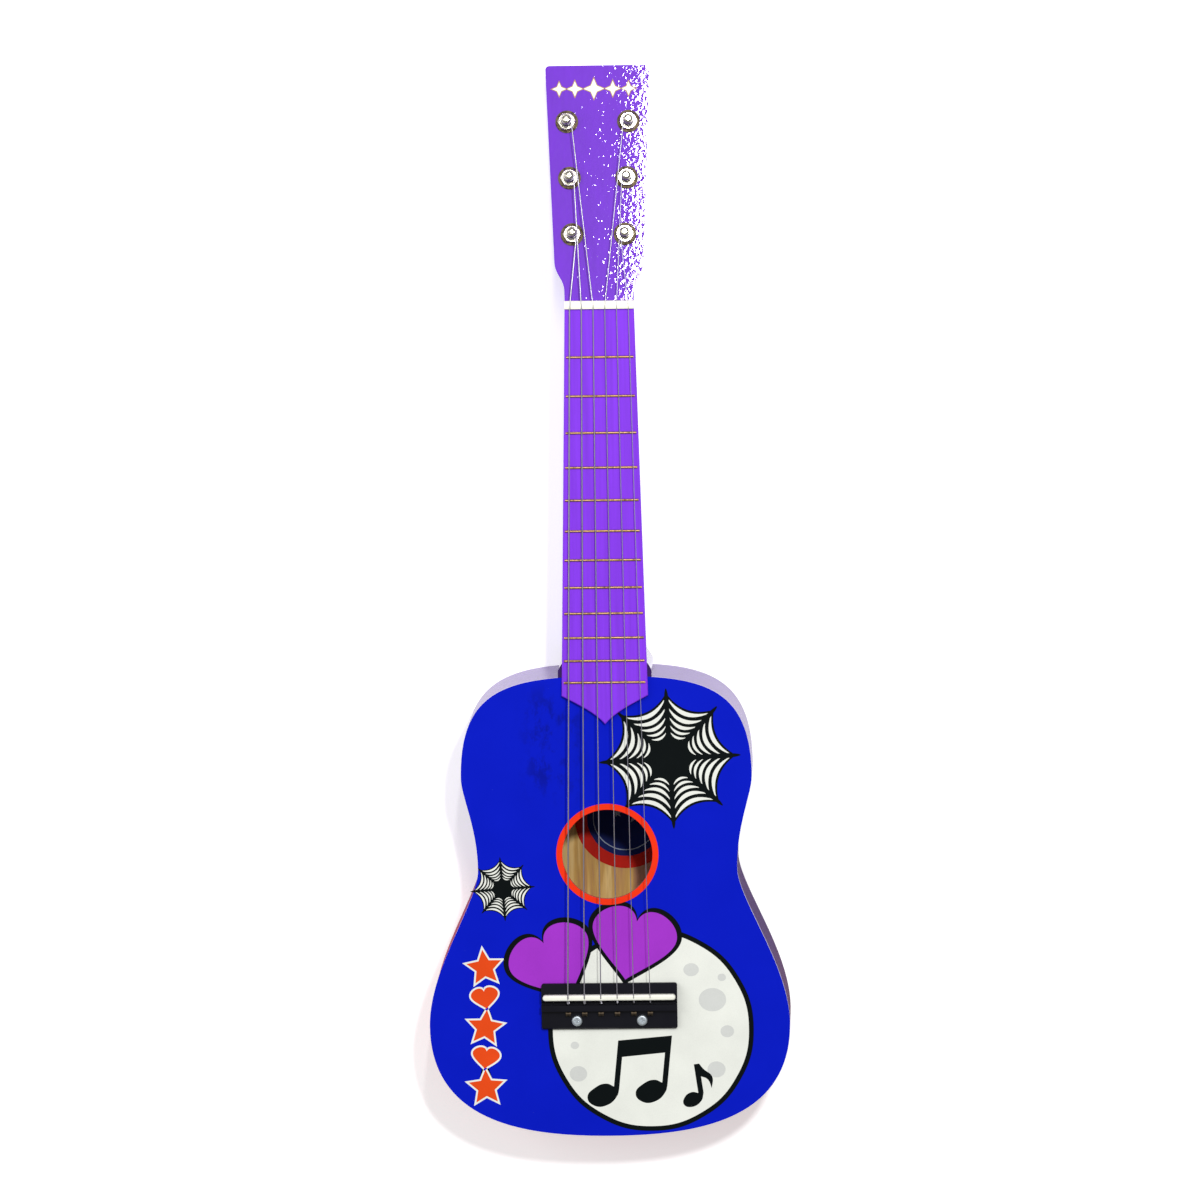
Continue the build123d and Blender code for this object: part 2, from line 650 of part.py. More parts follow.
def make_peg_shaft(number):
    """A turned post: domed cap, waist for the string, collar, journal and a square drive."""
    low_journal = rear_face() - peg_end_play
    collar_low = washer_thickness + hex_nut_height + peg_end_play
    shaft = disc(peg_diameter, low_journal, collar_top())
    shaft = shaft + disc(peg_collar[0], collar_low, collar_top())
    shaft = shaft + disc(peg_waist_diameter, collar_top(), peg_height - peg_cap_height)
    cap = disc(peg_diameter, peg_height - peg_cap_height, peg_height)
    shaft = shaft + fillet(cap.edges().sort_by(Axis.Z)[-1], 0.8 * peg_cap_height)
    hole_height = winding_range(number)[1] + string_hole_diameter / 2
    shaft = shaft - Pos(0, 0, hole_height) * Rot(90, 0, 0) * Cylinder(string_hole_diameter / 2, 20)
    drive = Pos(0, 0, low_journal - peg_drive_length / 2) * Box(peg_drive, peg_drive, peg_drive_length)
    thread = disc(peg_screw_diameter, low_journal - peg_drive_length - 1,
                  low_journal - peg_drive_length + peg_screw_grip)
    return shaft + drive - thread


def make_peg_button():
    """An oval thumb piece on a round neck, with a square socket for the shaft."""
    front = rear_face() - peg_end_play
    rear = front - button_length
    neck = disc(button_neck[0], front - button_neck[1] - 2, front)
    blade_top = front - button_neck[1]
    middle = (blade_top + rear) / 2
    oval = Plane.XZ * Pos(0, middle) * Ellipse(button_width / 2, (blade_top - rear) / 2)
    blade = extrude(oval, button_thickness / 2, both=True)
    blade = fillet(blade.edges(), 0.3 * button_thickness)
    flat_end = block((-50, 50), (-50, 50), (rear - 5, rear + 0.6))
    socket_size = peg_drive + 2 * drive_clearance
    socket = Pos(0, 0, front - peg_drive_length / 2) * Box(socket_size, socket_size, peg_drive_length)
    screw_way = disc(peg_screw_diameter, rear - 1, front)
    return neck + blade - flat_end - socket - screw_way


def make_peg_screw():
    front = rear_face() - peg_end_play
    seat = front - button_length + 0.6
    tip = front - peg_drive_length + peg_screw_grip
    head = disc(peg_screw_head[0], seat - peg_screw_head[1], seat)
    head = fillet(head.edges().sort_by(Axis.Z)[0], 0.8)
    slot = Pos(0, 0, seat - peg_screw_head[1]) * Box(peg_screw_head[0] * 1.1, 0.8, 1.2)
    return head - slot + disc(peg_screw_diameter, seat, tip)


def make_winding(number):
    """Turns of string on the post, as one ribbed ring."""
    diameter = string_diameters[number - 1]
    inner = peg_waist_diameter / 2
    low, high = winding_range(number)
    edges = []
    for turn in range(round((high - low) / diameter)):
        z = low + turn * diameter
        edges.append(ThreePointArc((inner + diameter / 2, 0, z), (inner + diameter, 0, z + diameter / 2),
                                   (inner + diameter / 2, 0, z + diameter)))
    edges.append(Line((inner + diameter / 2, 0, high), (inner, 0, high)))
    edges.append(Line((inner, 0, high), (inner, 0, low)))
    edges.append(Line((inner, 0, low), (inner + diameter / 2, 0, low)))
    return revolve(make_face(edges), Axis.Z)


def make_pegs():
    nodes, sleeves, washers, hex_nuts, springs = {}, [], [], [], []
    for number in range(1, 7):
        place = peg_frame(number)
        sleeves.append(place * make_sleeve())
        washers.append(place * make_peg_washer())
        hex_nuts.append(place * make_peg_hex_nut())
        springs.append(place * make_spring_washer())
        nodes[f"peg_shaft_{number}"] = place * make_peg_shaft(number)
        nodes[f"peg_button_{number}"] = place * make_peg_button()
        nodes[f"peg_screw_{number}"] = place * make_peg_screw()
        nodes[f"peg_winding_{number}"] = place * make_winding(number)
    nodes["peg_sleeves"] = group(sleeves)
    nodes["peg_washers"] = group(washers)
    nodes["peg_hex_nuts"] = group(hex_nuts)
    nodes["peg_spring_washers"] = group(springs)
    return nodes


# ---- the whole guitar --------------------------------------------------------------------------------
def make_strings():
    """The six strings, and one solid of all the grooves that they lie in."""
    strings = {f"string_{number}": string_tube(number) for number in range(1, 7)}
    grooves = group([string_tube(number, groove_clearance) for number in range(1, 7)])
    return strings, grooves


def make_guitar():
    with SkipClean():  # the curves of the outline stay as drawn, not merged into one
        nodes = make_body()
        neck = make_neck() - slab(body_outline(), 0, 2 * body_depth)
    strings, grooves = make_strings()
    nodes["neck"] = neck
    nodes["fingerboard"] = make_fingerboard()
    nodes["frets"] = group([make_fret(y) for y in fret_places()])
    nodes["string_nut"] = make_string_nut(grooves)
    nodes["neck_screws"] = make_neck_screws()
    nodes["bridge_base"] = make_bridge_base()
    nodes["bridge_saddle"] = make_saddle(grooves)
    nodes["bridge_screws"], nodes["bridge_washers"], nodes["bridge_hex_nuts"] = make_bridge_fasteners()
    nodes.update(strings)
    nodes["string_ball_ends"] = group([make_ball_end(number) for number in range(1, 7)])
    nodes.update(make_pegs())
    return nodes


os.makedirs("parts", exist_ok=True)
for name, solid in make_guitar().items():
    export_step(solid, f"parts/{name}.step")

for number in range(1, 7):
    path = string_path(number)
    area = pi * string_diameters[number - 1] ** 2 / 4
    print("string", number, "length", round(path.length, 2), "bends", string_bend, string_bend, nut_bend,
          "volume", round(string_tube(number).volume, 2), "section x length", round(area * path.length, 2))
print("fret rule", round(fret_rule_length, 1), "string length", round(nut_face_y - saddle_y, 1),
      "axis of the pegs", tuple(round(c, 6) for c in headstock_face.z_dir))
for number in range(1, 7):
    print("peg", number, "axis through", tuple(round(c, 4) for c in peg_frame(number).position))
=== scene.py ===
import json
from math import asin, atan2, ceil, cos, hypot, pi, radians, sin, sqrt, tan

import bpy
from bpy.props import FloatProperty, FloatVectorProperty, IntProperty, PointerProperty
from mathutils import Matrix, Vector


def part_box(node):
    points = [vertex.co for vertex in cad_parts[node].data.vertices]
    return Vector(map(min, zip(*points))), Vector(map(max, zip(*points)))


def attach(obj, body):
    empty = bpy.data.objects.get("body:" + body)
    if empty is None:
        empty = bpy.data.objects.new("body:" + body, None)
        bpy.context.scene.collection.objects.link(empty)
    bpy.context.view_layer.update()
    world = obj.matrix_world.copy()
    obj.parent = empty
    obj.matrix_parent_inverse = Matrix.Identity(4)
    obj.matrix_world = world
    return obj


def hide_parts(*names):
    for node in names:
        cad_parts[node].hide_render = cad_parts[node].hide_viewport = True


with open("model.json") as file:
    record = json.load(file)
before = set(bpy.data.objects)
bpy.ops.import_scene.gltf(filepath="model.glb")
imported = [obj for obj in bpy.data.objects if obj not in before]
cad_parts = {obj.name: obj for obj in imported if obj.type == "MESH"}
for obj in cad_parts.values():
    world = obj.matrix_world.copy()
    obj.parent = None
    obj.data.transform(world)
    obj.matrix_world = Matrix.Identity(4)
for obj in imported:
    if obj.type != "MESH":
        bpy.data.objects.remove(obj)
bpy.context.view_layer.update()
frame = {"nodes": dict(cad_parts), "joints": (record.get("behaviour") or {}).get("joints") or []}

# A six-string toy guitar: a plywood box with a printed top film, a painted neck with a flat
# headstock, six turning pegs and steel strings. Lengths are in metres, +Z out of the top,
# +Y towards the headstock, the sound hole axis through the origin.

bl_info = {
    "name": "Toy guitar looks",
    "version": (1, 0, 0),
    "blender": (4, 5, 0),
    "location": "3D View > Sidebar > Toy guitar",
    "description": "Prints, strings, finishes and a stage for a six-string toy guitar",
    "category": "Object",
}

MM = 0.001
LAYER = 0.03 * MM                  # thickness of one printed layer
FILM_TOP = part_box("top_film")[1].z
HOLE_RADIUS = 28 * MM
HEADSTOCK_TILT = radians(12)
WEB_DRAWN_REACH = 43.6             # the web is drawn at this size, in mm, then scaled


# ---------------------------------------------------------------- sizes and colours

def tone(red, green, blue):
    """A screen colour from 0 to 255 as the linear colour that Blender works in."""
    linear = []
    for share in (red / 255, green / 255, blue / 255):
        linear.append(share / 12.92 if share < 0.04045 else ((share + 0.055) / 1.055) ** 2.4)
    return tuple(linear)


def length(name, description, millimetres):
    return FloatProperty(name=name, description=description, default=millimetres * MM, min=0,
                         unit="LENGTH", subtype="DISTANCE", precision=5)


def colour(name, description, *screen):
    return FloatVectorProperty(name=name, description=description, default=tone(*screen),
                               min=0, max=1, size=3, subtype="COLOR")


def angle(name, description, degrees):
    return FloatProperty(name=name, description=description, default=radians(degrees),
                         unit="ROTATION", subtype="ANGLE")


def lamp_power(name, description, watts):
    return FloatProperty(name=name, description=description, default=watts, unit="POWER")


class GuitarPrint(bpy.types.PropertyGroup):
    """The picture on the top film"""
    film_blue: colour("Film blue", "Ground colour of the printed film", 4, 24, 186)
    print_black: colour("Print black", "Outlines, webs and notes", 6, 12, 13)
    print_white: colour("Print white", "Moon and web threads", 228, 230, 222)
    print_purple: colour("Print purple", "Hearts", 158, 52, 195)
    print_orange: colour("Print orange", "Stars and hearts at the side", 222, 72, 22)
    print_grey: colour("Print grey", "Craters of the moon", 205, 207, 203)
    ring_red: colour("Ring red", "Ring round the sound hole", 236, 52, 20)
    ring_diameter: length("Ring diameter", "Outside of the ring round the sound hole", 63.5)
    web_reach: length("Web reach", "Centre to the thread tips of the large web", 43.6)
    small_web_reach: length("Small web reach", "Centre to the thread tips of the small web", 20.0)
    moon_radius: length("Moon radius", "White disc behind the bridge", 61.0)
    outline_width: length("Outline width", "Black line round the moon and the hearts", 3.0)
    heart_width: length("Heart width", "Across the lobes of each heart", 53.0)


class GuitarPaint(bpy.types.PropertyGroup):
    """Paints, woods, plastics and metals"""
    neck_purple: colour("Neck purple", "Gloss paint of the neck and the headstock", 106, 33, 194)
    board_purple: colour("Fingerboard purple", "Paint of the fingerboard", 126, 47, 222)
    side_purple: colour("Side purple", "Paint of the sides and the back", 88, 40, 140)
    side_red: colour("Side red", "Sprayed shade towards the tail", 168, 22, 34)
    edge_red: colour("Hole edge red", "Painted edge of the sound hole", 205, 60, 30)
    wood_gold: colour("Wood gold", "Pale plywood", 205, 160, 84)
    wood_pink: colour("Wood pink", "Darker plywood", 176, 120, 96)
    bridge_black: colour("Bridge black", "Moulded bridge", 12, 12, 21)
    nut_cream: colour("Nut cream", "String nut", 240, 238, 214)
    saddle_white: colour("Saddle white", "Bridge saddle", 240, 240, 226)
    button_pearl: colour("Button pearl", "Peg buttons", 232, 230, 220)
    fret_brass: colour("Fret brass", "Fret wire", 176, 138, 96)
    zinc: colour("Zinc", "Bridge screws and small hardware", 190, 198, 204)
    nickel: colour("Nickel", "Pegs and nuts", 190, 185, 172)
    steel: colour("Steel", "Strings", 170, 168, 176)
    # the ball ends' colour is made very dark, near black-brown
    ball_brass: colour("Ball brass", "Aged ball ends", 74, 64, 52)
    label_red: colour("Label red", "Ring of the inside label", 190, 24, 8)
    label_blue: colour("Label blue", "Middle of the inside label", 4, 22, 86)


class GuitarStrings(bpy.types.PropertyGroup):
    """How the strings run"""
    saddle_pitch: length("Saddle pitch", "Between strings at the saddle", 10.2)
    nut_pitch: length("Nut pitch", "Between strings at the nut", 7.2)
    first_diameter: length("First string", "Diameter of the first string", 0.45)
    last_diameter: length("Sixth string", "Diameter of the sixth string", 0.90)
    post_radius: length("Post radius", "Radius of the peg where the string winds", 2.5)
    wrap_turns: IntProperty(name="Wrap turns", description="Turns of the twist before the saddle",
                            default=4, min=1, max=8)


class GuitarStage(bpy.types.PropertyGroup):
    """Camera, lights and floor"""
    view_height: FloatProperty(name="View height", default=0.7416, unit="LENGTH",
                               description="What the camera frames at the top of the body")
    camera_distance: FloatProperty(name="Camera distance", default=5.0, unit="LENGTH",
                                   description="From the camera to the top of the body")
    tilt_up: angle("Tilt up", "Camera towards the headstock end", 7.0)
    tilt_right: angle("Tilt right", "Camera towards the treble side", 1.8)
    roll: angle("Roll", "Camera about its own axis", 0.85)
    key_power: lamp_power("Key", "Main lamp", 58)
    fill_power: lamp_power("Fill", "Wide soft lamp", 22)
    strip_power: lamp_power("Strip", "Narrow lamp that glints on the headstock", 3.0)
    sky: FloatProperty(name="Sky", default=0.36, min=0, description="Even light from all round")
    floor_white: colour("Floor", "Pale floor", 248, 248, 248)


# ---------------------------------------------------------------- materials

class Value:
    """A shader socket that can be used in sums: each sum adds its Math node."""

    def __init__(self, finish, socket):
        self.finish = finish
        self.socket = socket

    def maths(self, operation, *terms):
        return self.finish.add("ShaderNodeMath", {"operation": operation}, dict(enumerate(terms)))

    def __add__(self, other):
        return self.maths("ADD", self, other)

    def __sub__(self, other):
        return self.maths("SUBTRACT", self, other)

    def __rsub__(self, other):
        return self.maths("SUBTRACT", other, self)

    def __mul__(self, other):
        return self.maths("MULTIPLY", self, other)

    def __truediv__(self, other):
        return self.maths("DIVIDE", self, other)

    def __lt__(self, other):
        return self.maths("LESS_THAN", self, other)

    def __abs__(self):
        return self.maths("ABSOLUTE", self)

    __radd__ = __add__
    __rmul__ = __mul__


class Finish:
    """A material, its shader and one way to add any node to it."""

    def __init__(self, name, **constants):
        self.material = bpy.data.materials.new(name)
        self.material.use_nodes = True
        self.tree = self.material.node_tree
        self.shader = self.tree.nodes["Principled BSDF"]
        for socket, value in constants.items():
            self.feed(self.shader.inputs[socket.replace("_", " ")], value)

    def feed(self, socket, value):
        if isinstance(value, Value):
            self.tree.links.new(value.socket, socket)
        elif socket.type == "RGBA" and len(value) == 3:
            socket.default_value = (*value, 1)
        else:
            socket.default_value = value

    def add(self, kind, settings=None, inputs=None, out=0):
        """One node with its settings and inputs; stops are those of a colour ramp."""
        node = self.tree.nodes.new(kind)
        for name, value in (settings or {}).items():
            if name == "stops":
                while len(node.color_ramp.elements) < len(value):
                    node.color_ramp.elements.new(1)
                for stop, (place, shade) in zip(node.color_ramp.elements, value):
                    stop.position = place
                    stop.color = (*shade, 1)
            else:
                setattr(node, name, value)
        for name, value in (inputs or {}).items():
            self.feed(node.inputs[name], value)
        return Value(self, node.outputs[out])

    def place(self, scale=(1, 1, 1), shift=(0, 0, 0)):
        """Object coordinates, moved and stretched."""
        here = self.add("ShaderNodeTexCoord", out="Object")
        return self.add("ShaderNodeMapping", None,
                        {"Vector": here, "Scale": scale, "Location": shift})

    def axes(self, source="Object"):
        """X, Y and Z of the object coordinates or of the surface normal."""
        split = self.tree.nodes.new("ShaderNodeSeparateXYZ")
        self.feed(split.inputs[0], self.add("ShaderNodeTexCoord", out=source))
        return [Value(self, socket) for socket in split.outputs]

    def noise(self, grain, detail=3, roughness=0.5, distortion=0, stretch=(1, 1, 1),
              shift=(0, 0, 0)):
        """Cloudy noise with blotches of about grain metres."""
        return self.add("ShaderNodeTexNoise", None, {
            "Vector": self.place(stretch, shift), "Scale": 1 / grain, "Detail": detail,
            "Roughness": roughness, "Distortion": distortion})

    def speckle(self, grain):
        """Distance to the nearest of many scattered points."""
        return self.add("ShaderNodeTexVoronoi", None,
                        {"Vector": self.place(), "Scale": 1 / grain})

    def fade(self, value, low, high):
        """0 below low, 1 above high, smooth between them."""
        return self.add("ShaderNodeMapRange", {"interpolation_type": "SMOOTHSTEP"},
                        {"Value": value, "From Min": low, "From Max": high})

    def blend(self, share, first, second):
        """The first colour where share is 0, the second where it is 1."""
        return self.add("ShaderNodeMix", {"data_type": "RGBA"},
                        {0: share, 6: first, 7: second}, out=2)

    def mottle(self, base, amount, *noises):
        """A colour made lighter and darker by up to about amount, by noises."""
        for noise in noises:
            strength = (noise - 0.5) * (4 * amount) + 1
            base = self.add("ShaderNodeVectorMath", {"operation": "SCALE"},
                            {0: base, "Scale": strength})
        return base

    def bump(self, height, distance, strength=1.0):
        self.feed(self.shader.inputs["Normal"],
                  self.add("ShaderNodeBump", None,
                           {"Height": height, "Distance": distance, "Strength": strength}))

    def surface(self, base, roughness):
        self.feed(self.shader.inputs["Base Color"], base)
        self.feed(self.shader.inputs["Roughness"], roughness)
        return self.material


def print_ink(name, ink, roughness=0.42):
    """Ink on plastic film: fine press grain, faint cloudiness, a soft sheen."""
    finish = Finish(name, Specular_IOR_Level=0.07)
    grain = finish.noise(0.35 * MM, 2)
    cloud = finish.noise(24 * MM, 3)
    finish.bump(grain, 0.012 * MM, 0.5)
    base = finish.mottle(tuple(ink), 0.05, grain, cloud)
    return finish.surface(base, roughness + 0.1 * (cloud - 0.5))


def film_finish(colours):
    """The film's blue ground, with a darker, duller patch beside the neck, specks of dust and a
    painted highlight on its cut edge.
    """
    finish = Finish("printed_film_blue", Specular_IOR_Level=0.05)
    grain = finish.noise(0.35 * MM, 2)
    cloud = finish.noise(30 * MM, 3)
    x, y, z = finish.axes()
    # a darker, duller patch on the bass side beside the neck, broken up by noise
    patch_x, patch_y = -32 * MM, 70 * MM
    near = (finish.fade(abs(x - patch_x), 26 * MM, 8 * MM)
            * finish.fade(abs(y - patch_y), 44 * MM, 18 * MM))
    dark_patch = near * finish.fade(finish.noise(9 * MM, 5, 0.7, stretch=(1, 0.6, 1)), 0.46, 0.62)
    dust = finish.speckle(9 * MM) < 0.018
    base = finish.mottle(tuple(colours.film_blue), 0.035, grain, cloud)
    base = finish.blend(dark_patch * 0.6, base, tone(2, 12, 120))
    base = finish.blend(dust * 0.35, base, tone(120, 130, 190))
    # painted highlight: the film's thin cut edge is coloured pale grey-white as a bright line along
    # the top's edge
    side = finish.fade(z, FILM_TOP - 0.16 * MM, FILM_TOP - 0.05 * MM)
    base = finish.blend(side, tone(196, 200, 214), base)
    finish.bump(grain, 0.012 * MM, 0.5)
    return finish.surface(base, 0.42 + 0.12 * (cloud - 0.5) + 0.08 * dark_patch)


def wood_colour(finish, paint, ply_low=None, ply_high=None):
    """Plywood: long grain along Y, broad golden and pinkish stripes, a darker middle ply."""
    fibre = finish.noise(1.1 * MM, 4, 0.65, stretch=(1, 0.035, 1))
    x = finish.axes()[0]
    stripe = finish.noise(7 * MM, 3, 0.55, distortion=0.3, stretch=(1, 0.08, 1),
                          shift=(0.011, 0, 0))
    pinker_per_metre = 7
    stripe = stripe - x * pinker_per_metre - 0.05
    base = finish.add("ShaderNodeValToRGB", {"stops": (
        (0.34, tuple(paint.wood_pink)), (0.52, tuple(paint.wood_gold)),
        (0.66, tone(232, 196, 128)))}, {"Fac": stripe})
    base = finish.blend(finish.fade(fibre, 0.4, 0.8) * 0.3, base, tone(140, 84, 44))
    if ply_low is not None:
        z = finish.axes()[2]
        share = (z - ply_low) / (ply_high - ply_low)
        middle = finish.fade(abs(share - 0.5), 0.2, 0.15)
        base = finish.blend(middle * 0.5, base, tone(128, 84, 48))
    return base, fibre


def bare_wood(name, paint, node):
    low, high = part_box(node)
    finish = Finish(name, Specular_IOR_Level=0.3)
    base, fibre = wood_colour(finish, paint, low.z, high.z)
    finish.bump(fibre, 0.06 * MM, 0.6)
    return finish.surface(base, 0.62 + 0.15 * fibre)


def sprayed(finish, paint):
    """The body's paint: purple, red towards the tail, dark low on the treble side."""
    x, y = finish.axes()[:2]
    drift = finish.noise(26 * MM, 4, 0.6)
    shade = finish.fade(y + 60 * MM * (drift - 0.5) + 0.35 * x, -20 * MM, -95 * MM)
    base = finish.blend(shade * 0.85, tuple(paint.side_purple), tuple(paint.side_red))
    treble_low = finish.fade(x + y * 0.3, 40 * MM, 70 * MM) * finish.fade(y, 40 * MM, 0)
    base = finish.blend(treble_low * 0.7, base, tone(52, 14, 60))
    streak = finish.noise(1.4 * MM, 3, 0.6, stretch=(0.08, 0.08, 1))
    return finish.mottle(base, 0.1, drift, streak)


def chipped(finish, base, near_edge):
    """Paint with pale chips along an edge, and where the chips are."""
    chips = finish.fade(finish.noise(3.4 * MM, 5, 0.75), 0.62, 0.66) * near_edge
    return finish.blend(chips * 0.9, base, tone(222, 214, 216)), chips


def side_finish(paint):
    """Sprayed gloss outside, bare wood inside, chips along the top edge."""
    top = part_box("side_bass")[1].z
    middle_y = -33 * MM                # the outside faces away from here
    finish = Finish("side_spray", Specular_IOR_Level=0.5)
    x, y, z = finish.axes()
    nx, ny = finish.axes("Normal")[:2]
    outward = finish.fade(nx * x + ny * (y - middle_y), 0, 4 * MM)
    wood, fibre = wood_colour(finish, paint)
    spray = sprayed(finish, paint)
    spray, chips = chipped(finish, spray, finish.fade(z, top - 4 * MM, top - 0.5 * MM))
    ripple = finish.noise(5 * MM, 2)
    finish.bump(ripple * 0.7 + finish.noise(0.8 * MM, 2) * 0.3 - chips * 0.6, 0.12 * MM, 0.5)
    low_down = finish.fade(y, 30 * MM, -30 * MM)
    roughness = 0.65 + outward * (0.12 + 0.35 * chips + 0.68 * low_down - 0.5)
    return finish.surface(finish.blend(outward, wood, spray), roughness)


def back_finish(paint):
    """The back plate: bare plywood inside, sprayed outside and on its edge."""
    finish = Finish("back_spray", Specular_IOR_Level=0.5)
    nz = finish.axes("Normal")[2]
    inside = finish.fade(nz, 0.4, 0.6)
    wood, fibre = wood_colour(finish, paint)
    spray = sprayed(finish, paint)
    scuff = finish.fade(finish.noise(2.4 * MM, 5, 0.8, stretch=(1, 0.1, 1)), 0.66, 0.72)
    spray = finish.blend(scuff * 0.25, spray, tone(190, 180, 205))
    finish.bump(finish.noise(6 * MM, 2) + fibre * 0.15, 0.1 * MM, 0.5)
    return finish.surface(finish.blend(inside, spray, wood), 0.2 + inside * 0.5 + scuff * 0.2)


def soundboard_finish(paint):
    """The top board: a red hole edge, a sprayed and chipped outer edge, bare wood below."""
    low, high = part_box("soundboard")
    finish = Finish("soundboard_edges", Specular_IOR_Level=0.5)
    x, y, z = finish.axes()
    nz = finish.axes("Normal")[2]
    upright = finish.fade(abs(nz), 0.6, 0.4)
    distance = x.maths("SQRT", x * x + y * y)
    round_hole = finish.fade(distance, HOLE_RADIUS + 8 * MM, HOLE_RADIUS + 4 * MM)
    wood, fibre = wood_colour(finish, paint, low.z, high.z)
    spray, chips = chipped(finish, sprayed(finish, paint), finish.fade(z, low.z + 1 * MM, high.z))
    rim = finish.mottle(tuple(paint.edge_red), 0.14, finish.noise(2 * MM, 3))
    painted = finish.blend(round_hole, spray, rim)
    finish.bump(fibre, 0.05 * MM, 0.5)
    return finish.surface(finish.blend(upright, wood, painted),
                          0.6 - upright * (0.42 - 0.3 * chips))


def neck_finish(paint):
    """Thick purple gloss, rippled and with dust nibs, darkened by painted shade where it meets the
    body.
    """
    finish = Finish("neck_gloss", Coat_Weight=1.0, Coat_Roughness=0.02, Coat_IOR=1.45,
                    Specular_IOR_Level=0.08)
    peel = finish.noise(2.4 * MM, 1, 0.4)
    wave = finish.noise(9 * MM, 2, 0.5)
    nibs = finish.fade(finish.speckle(3.2 * MM), 0.34, 0.06)
    cloud = finish.noise(32 * MM, 3)
    streak = finish.noise(2.4 * MM, 3, stretch=(1, 0.1, 1))
    base = finish.mottle(tuple(paint.neck_purple), 0.05, cloud, streak)
    y = finish.axes()[1]
    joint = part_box("soundboard")[1].y
    # painted shade: the heel is darkened near the body as if shadowed by the fingerboard above it
    painted_heel_shade = finish.fade(y + 4 * MM * cloud, joint + 22 * MM, joint + 10 * MM)
    base = finish.blend(painted_heel_shade, base, tone(46, 14, 84))
    finish.bump(peel * 0.8 + wave * 0.3 + nibs * 0.3, 0.042 * MM, 0.9)
    bump = finish.shader.inputs["Normal"].links[0].from_socket
    finish.tree.links.new(bump, finish.shader.inputs["Coat Normal"])
    return finish.surface(base, 0.3 + 0.08 * cloud)


def board_finish(paint):
    """Fingerboard paint, streaked along the grain."""
    finish = Finish("fingerboard_paint", Specular_IOR_Level=0.25)
    streak = finish.noise(1.6 * MM, 4, 0.6, stretch=(1, 0.02, 1))
    broad = finish.noise(6 * MM, 2, stretch=(1, 0.04, 1))
    cloud = finish.noise(20 * MM, 3)
    base = finish.mottle(tuple(paint.board_purple), 0.1, streak, broad)
    base = finish.blend(finish.fade(cloud, 0.5, 0.8) * 0.2, base, tone(118, 44, 206))
    finish.bump(streak * 0.7 + finish.noise(0.6 * MM, 2) * 0.3, 0.06 * MM, 0.6)
    return finish.surface(base, 0.36 + 0.16 * streak)


def metal(name, base, dull, roughness, stain=0.25, stretch=(1, 1, 1)):
    """Plated or drawn metal with tarnish in patches and fine scratches."""
    finish = Finish(name, Metallic=1.0)
    patch = finish.noise(2.2 * MM, 4, 0.65, stretch=stretch)
    scratch = finish.noise(0.22 * MM, 2, stretch=(1, 0.15, 0.6))
    tarnish = finish.fade(patch, 0.45, 0.75) * stain
    finish.bump(scratch, 0.006 * MM, 0.5)
    base = finish.blend(tarnish, tuple(base), dull)
    return finish.surface(base, roughness + 0.3 * tarnish + 0.08 * scratch)


def plastic(name, base, stain, roughness, level=0.5, grain=0.8, depth=0.02):
    """Moulded plastic: fine mould texture, slight cloudiness, handling marks."""
    finish = Finish(name, Specular_IOR_Level=level)
    mould = finish.noise(grain * MM, 3, 0.6)
    cloud = finish.noise(9 * MM, 4)
    marks = finish.fade(finish.noise(1.1 * MM, 5, 0.8, stretch=(0.15, 1, 1)), 0.64, 0.74)
    base = finish.mottle(tuple(base), 0.04, mould, cloud)
    base = finish.blend(marks * 0.3, base, stain)
    finish.bump(mould - marks * 0.5, depth * MM, 0.6)
    return finish.surface(base, roughness + 0.14 * (cloud - 0.5) + 0.15 * marks)


def paper(name, base):
    """Matt label paper with a faint fibre texture."""
    finish = Finish(name, Specular_IOR_Level=0.2)
    fibre = finish.noise(0.5 * MM, 4, 0.7)
    cloud = finish.noise(12 * MM, 3)
    finish.bump(fibre, 0.02 * MM, 0.6)
    return finish.surface(finish.mottle(tuple(base), 0.07, fibre, cloud), 0.66 + 0.1 * cloud)


# ---------------------------------------------------------------- modelling helpers

def only(thing):
    """Nothing is selected but this object, which is active."""
    bpy.ops.object.select_all(action="DESELECT")
    thing.select_set(True)
    bpy.context.view_layer.objects.active = thing


def clean(thing):
    """Doubles merged and faces turned outwards."""
    only(thing)
    bpy.ops.object.mode_set(mode="EDIT")
    bpy.ops.mesh.select_all(action="SELECT")
    bpy.ops.mesh.remove_doubles(threshold=0.001 * MM)
    bpy.ops.mesh.normals_make_consistent(inside=False)
    bpy.ops.object.mode_set(mode="OBJECT")


def settle(thing):
    """The object's place, turn and scale go into its mesh."""
    only(thing)
    bpy.ops.object.transform_apply(location=True, rotation=True, scale=True)


def hand_over(thing, name, material, body="guitar", replaces=None):
    """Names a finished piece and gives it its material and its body."""
    thing.name = name
    thing.data.name = name
    thing.data.materials.clear()
    thing.data.materials.append(material)
    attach(thing, body)
    if replaces:
        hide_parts(replaces)


def join(things):
    only(things[0])
    for thing in things[1:]:
        thing.select_set(True)
    if len(things) > 1:
        bpy.ops.object.join()
    return bpy.context.object


def polar(radius, degrees):
    angle = radians(degrees)
    return Vector((radius * cos(angle), radius * sin(angle)))


def corner(x, y):
    return Vector((x, y)), None, "VECTOR"


def rounded(x, y):
    return Vector((x, y)), None, "AUTO"


def bowed_outline(corners):
    """A closed outline from (corner, point that the next side passes through) pairs."""
    handles = []
    for (start, middle), (end, _) in zip(corners, corners[1:] + corners[:1]):
        third = (end - start) / 3
        bow = (middle - (start + end) / 2) * 4 / 3
        handles.append((start + third + bow, end - third + bow))
    return [(point, (handles[i - 1][1], handles[i][0]), "FREE")
            for i, (point, _) in enumerate(corners)]


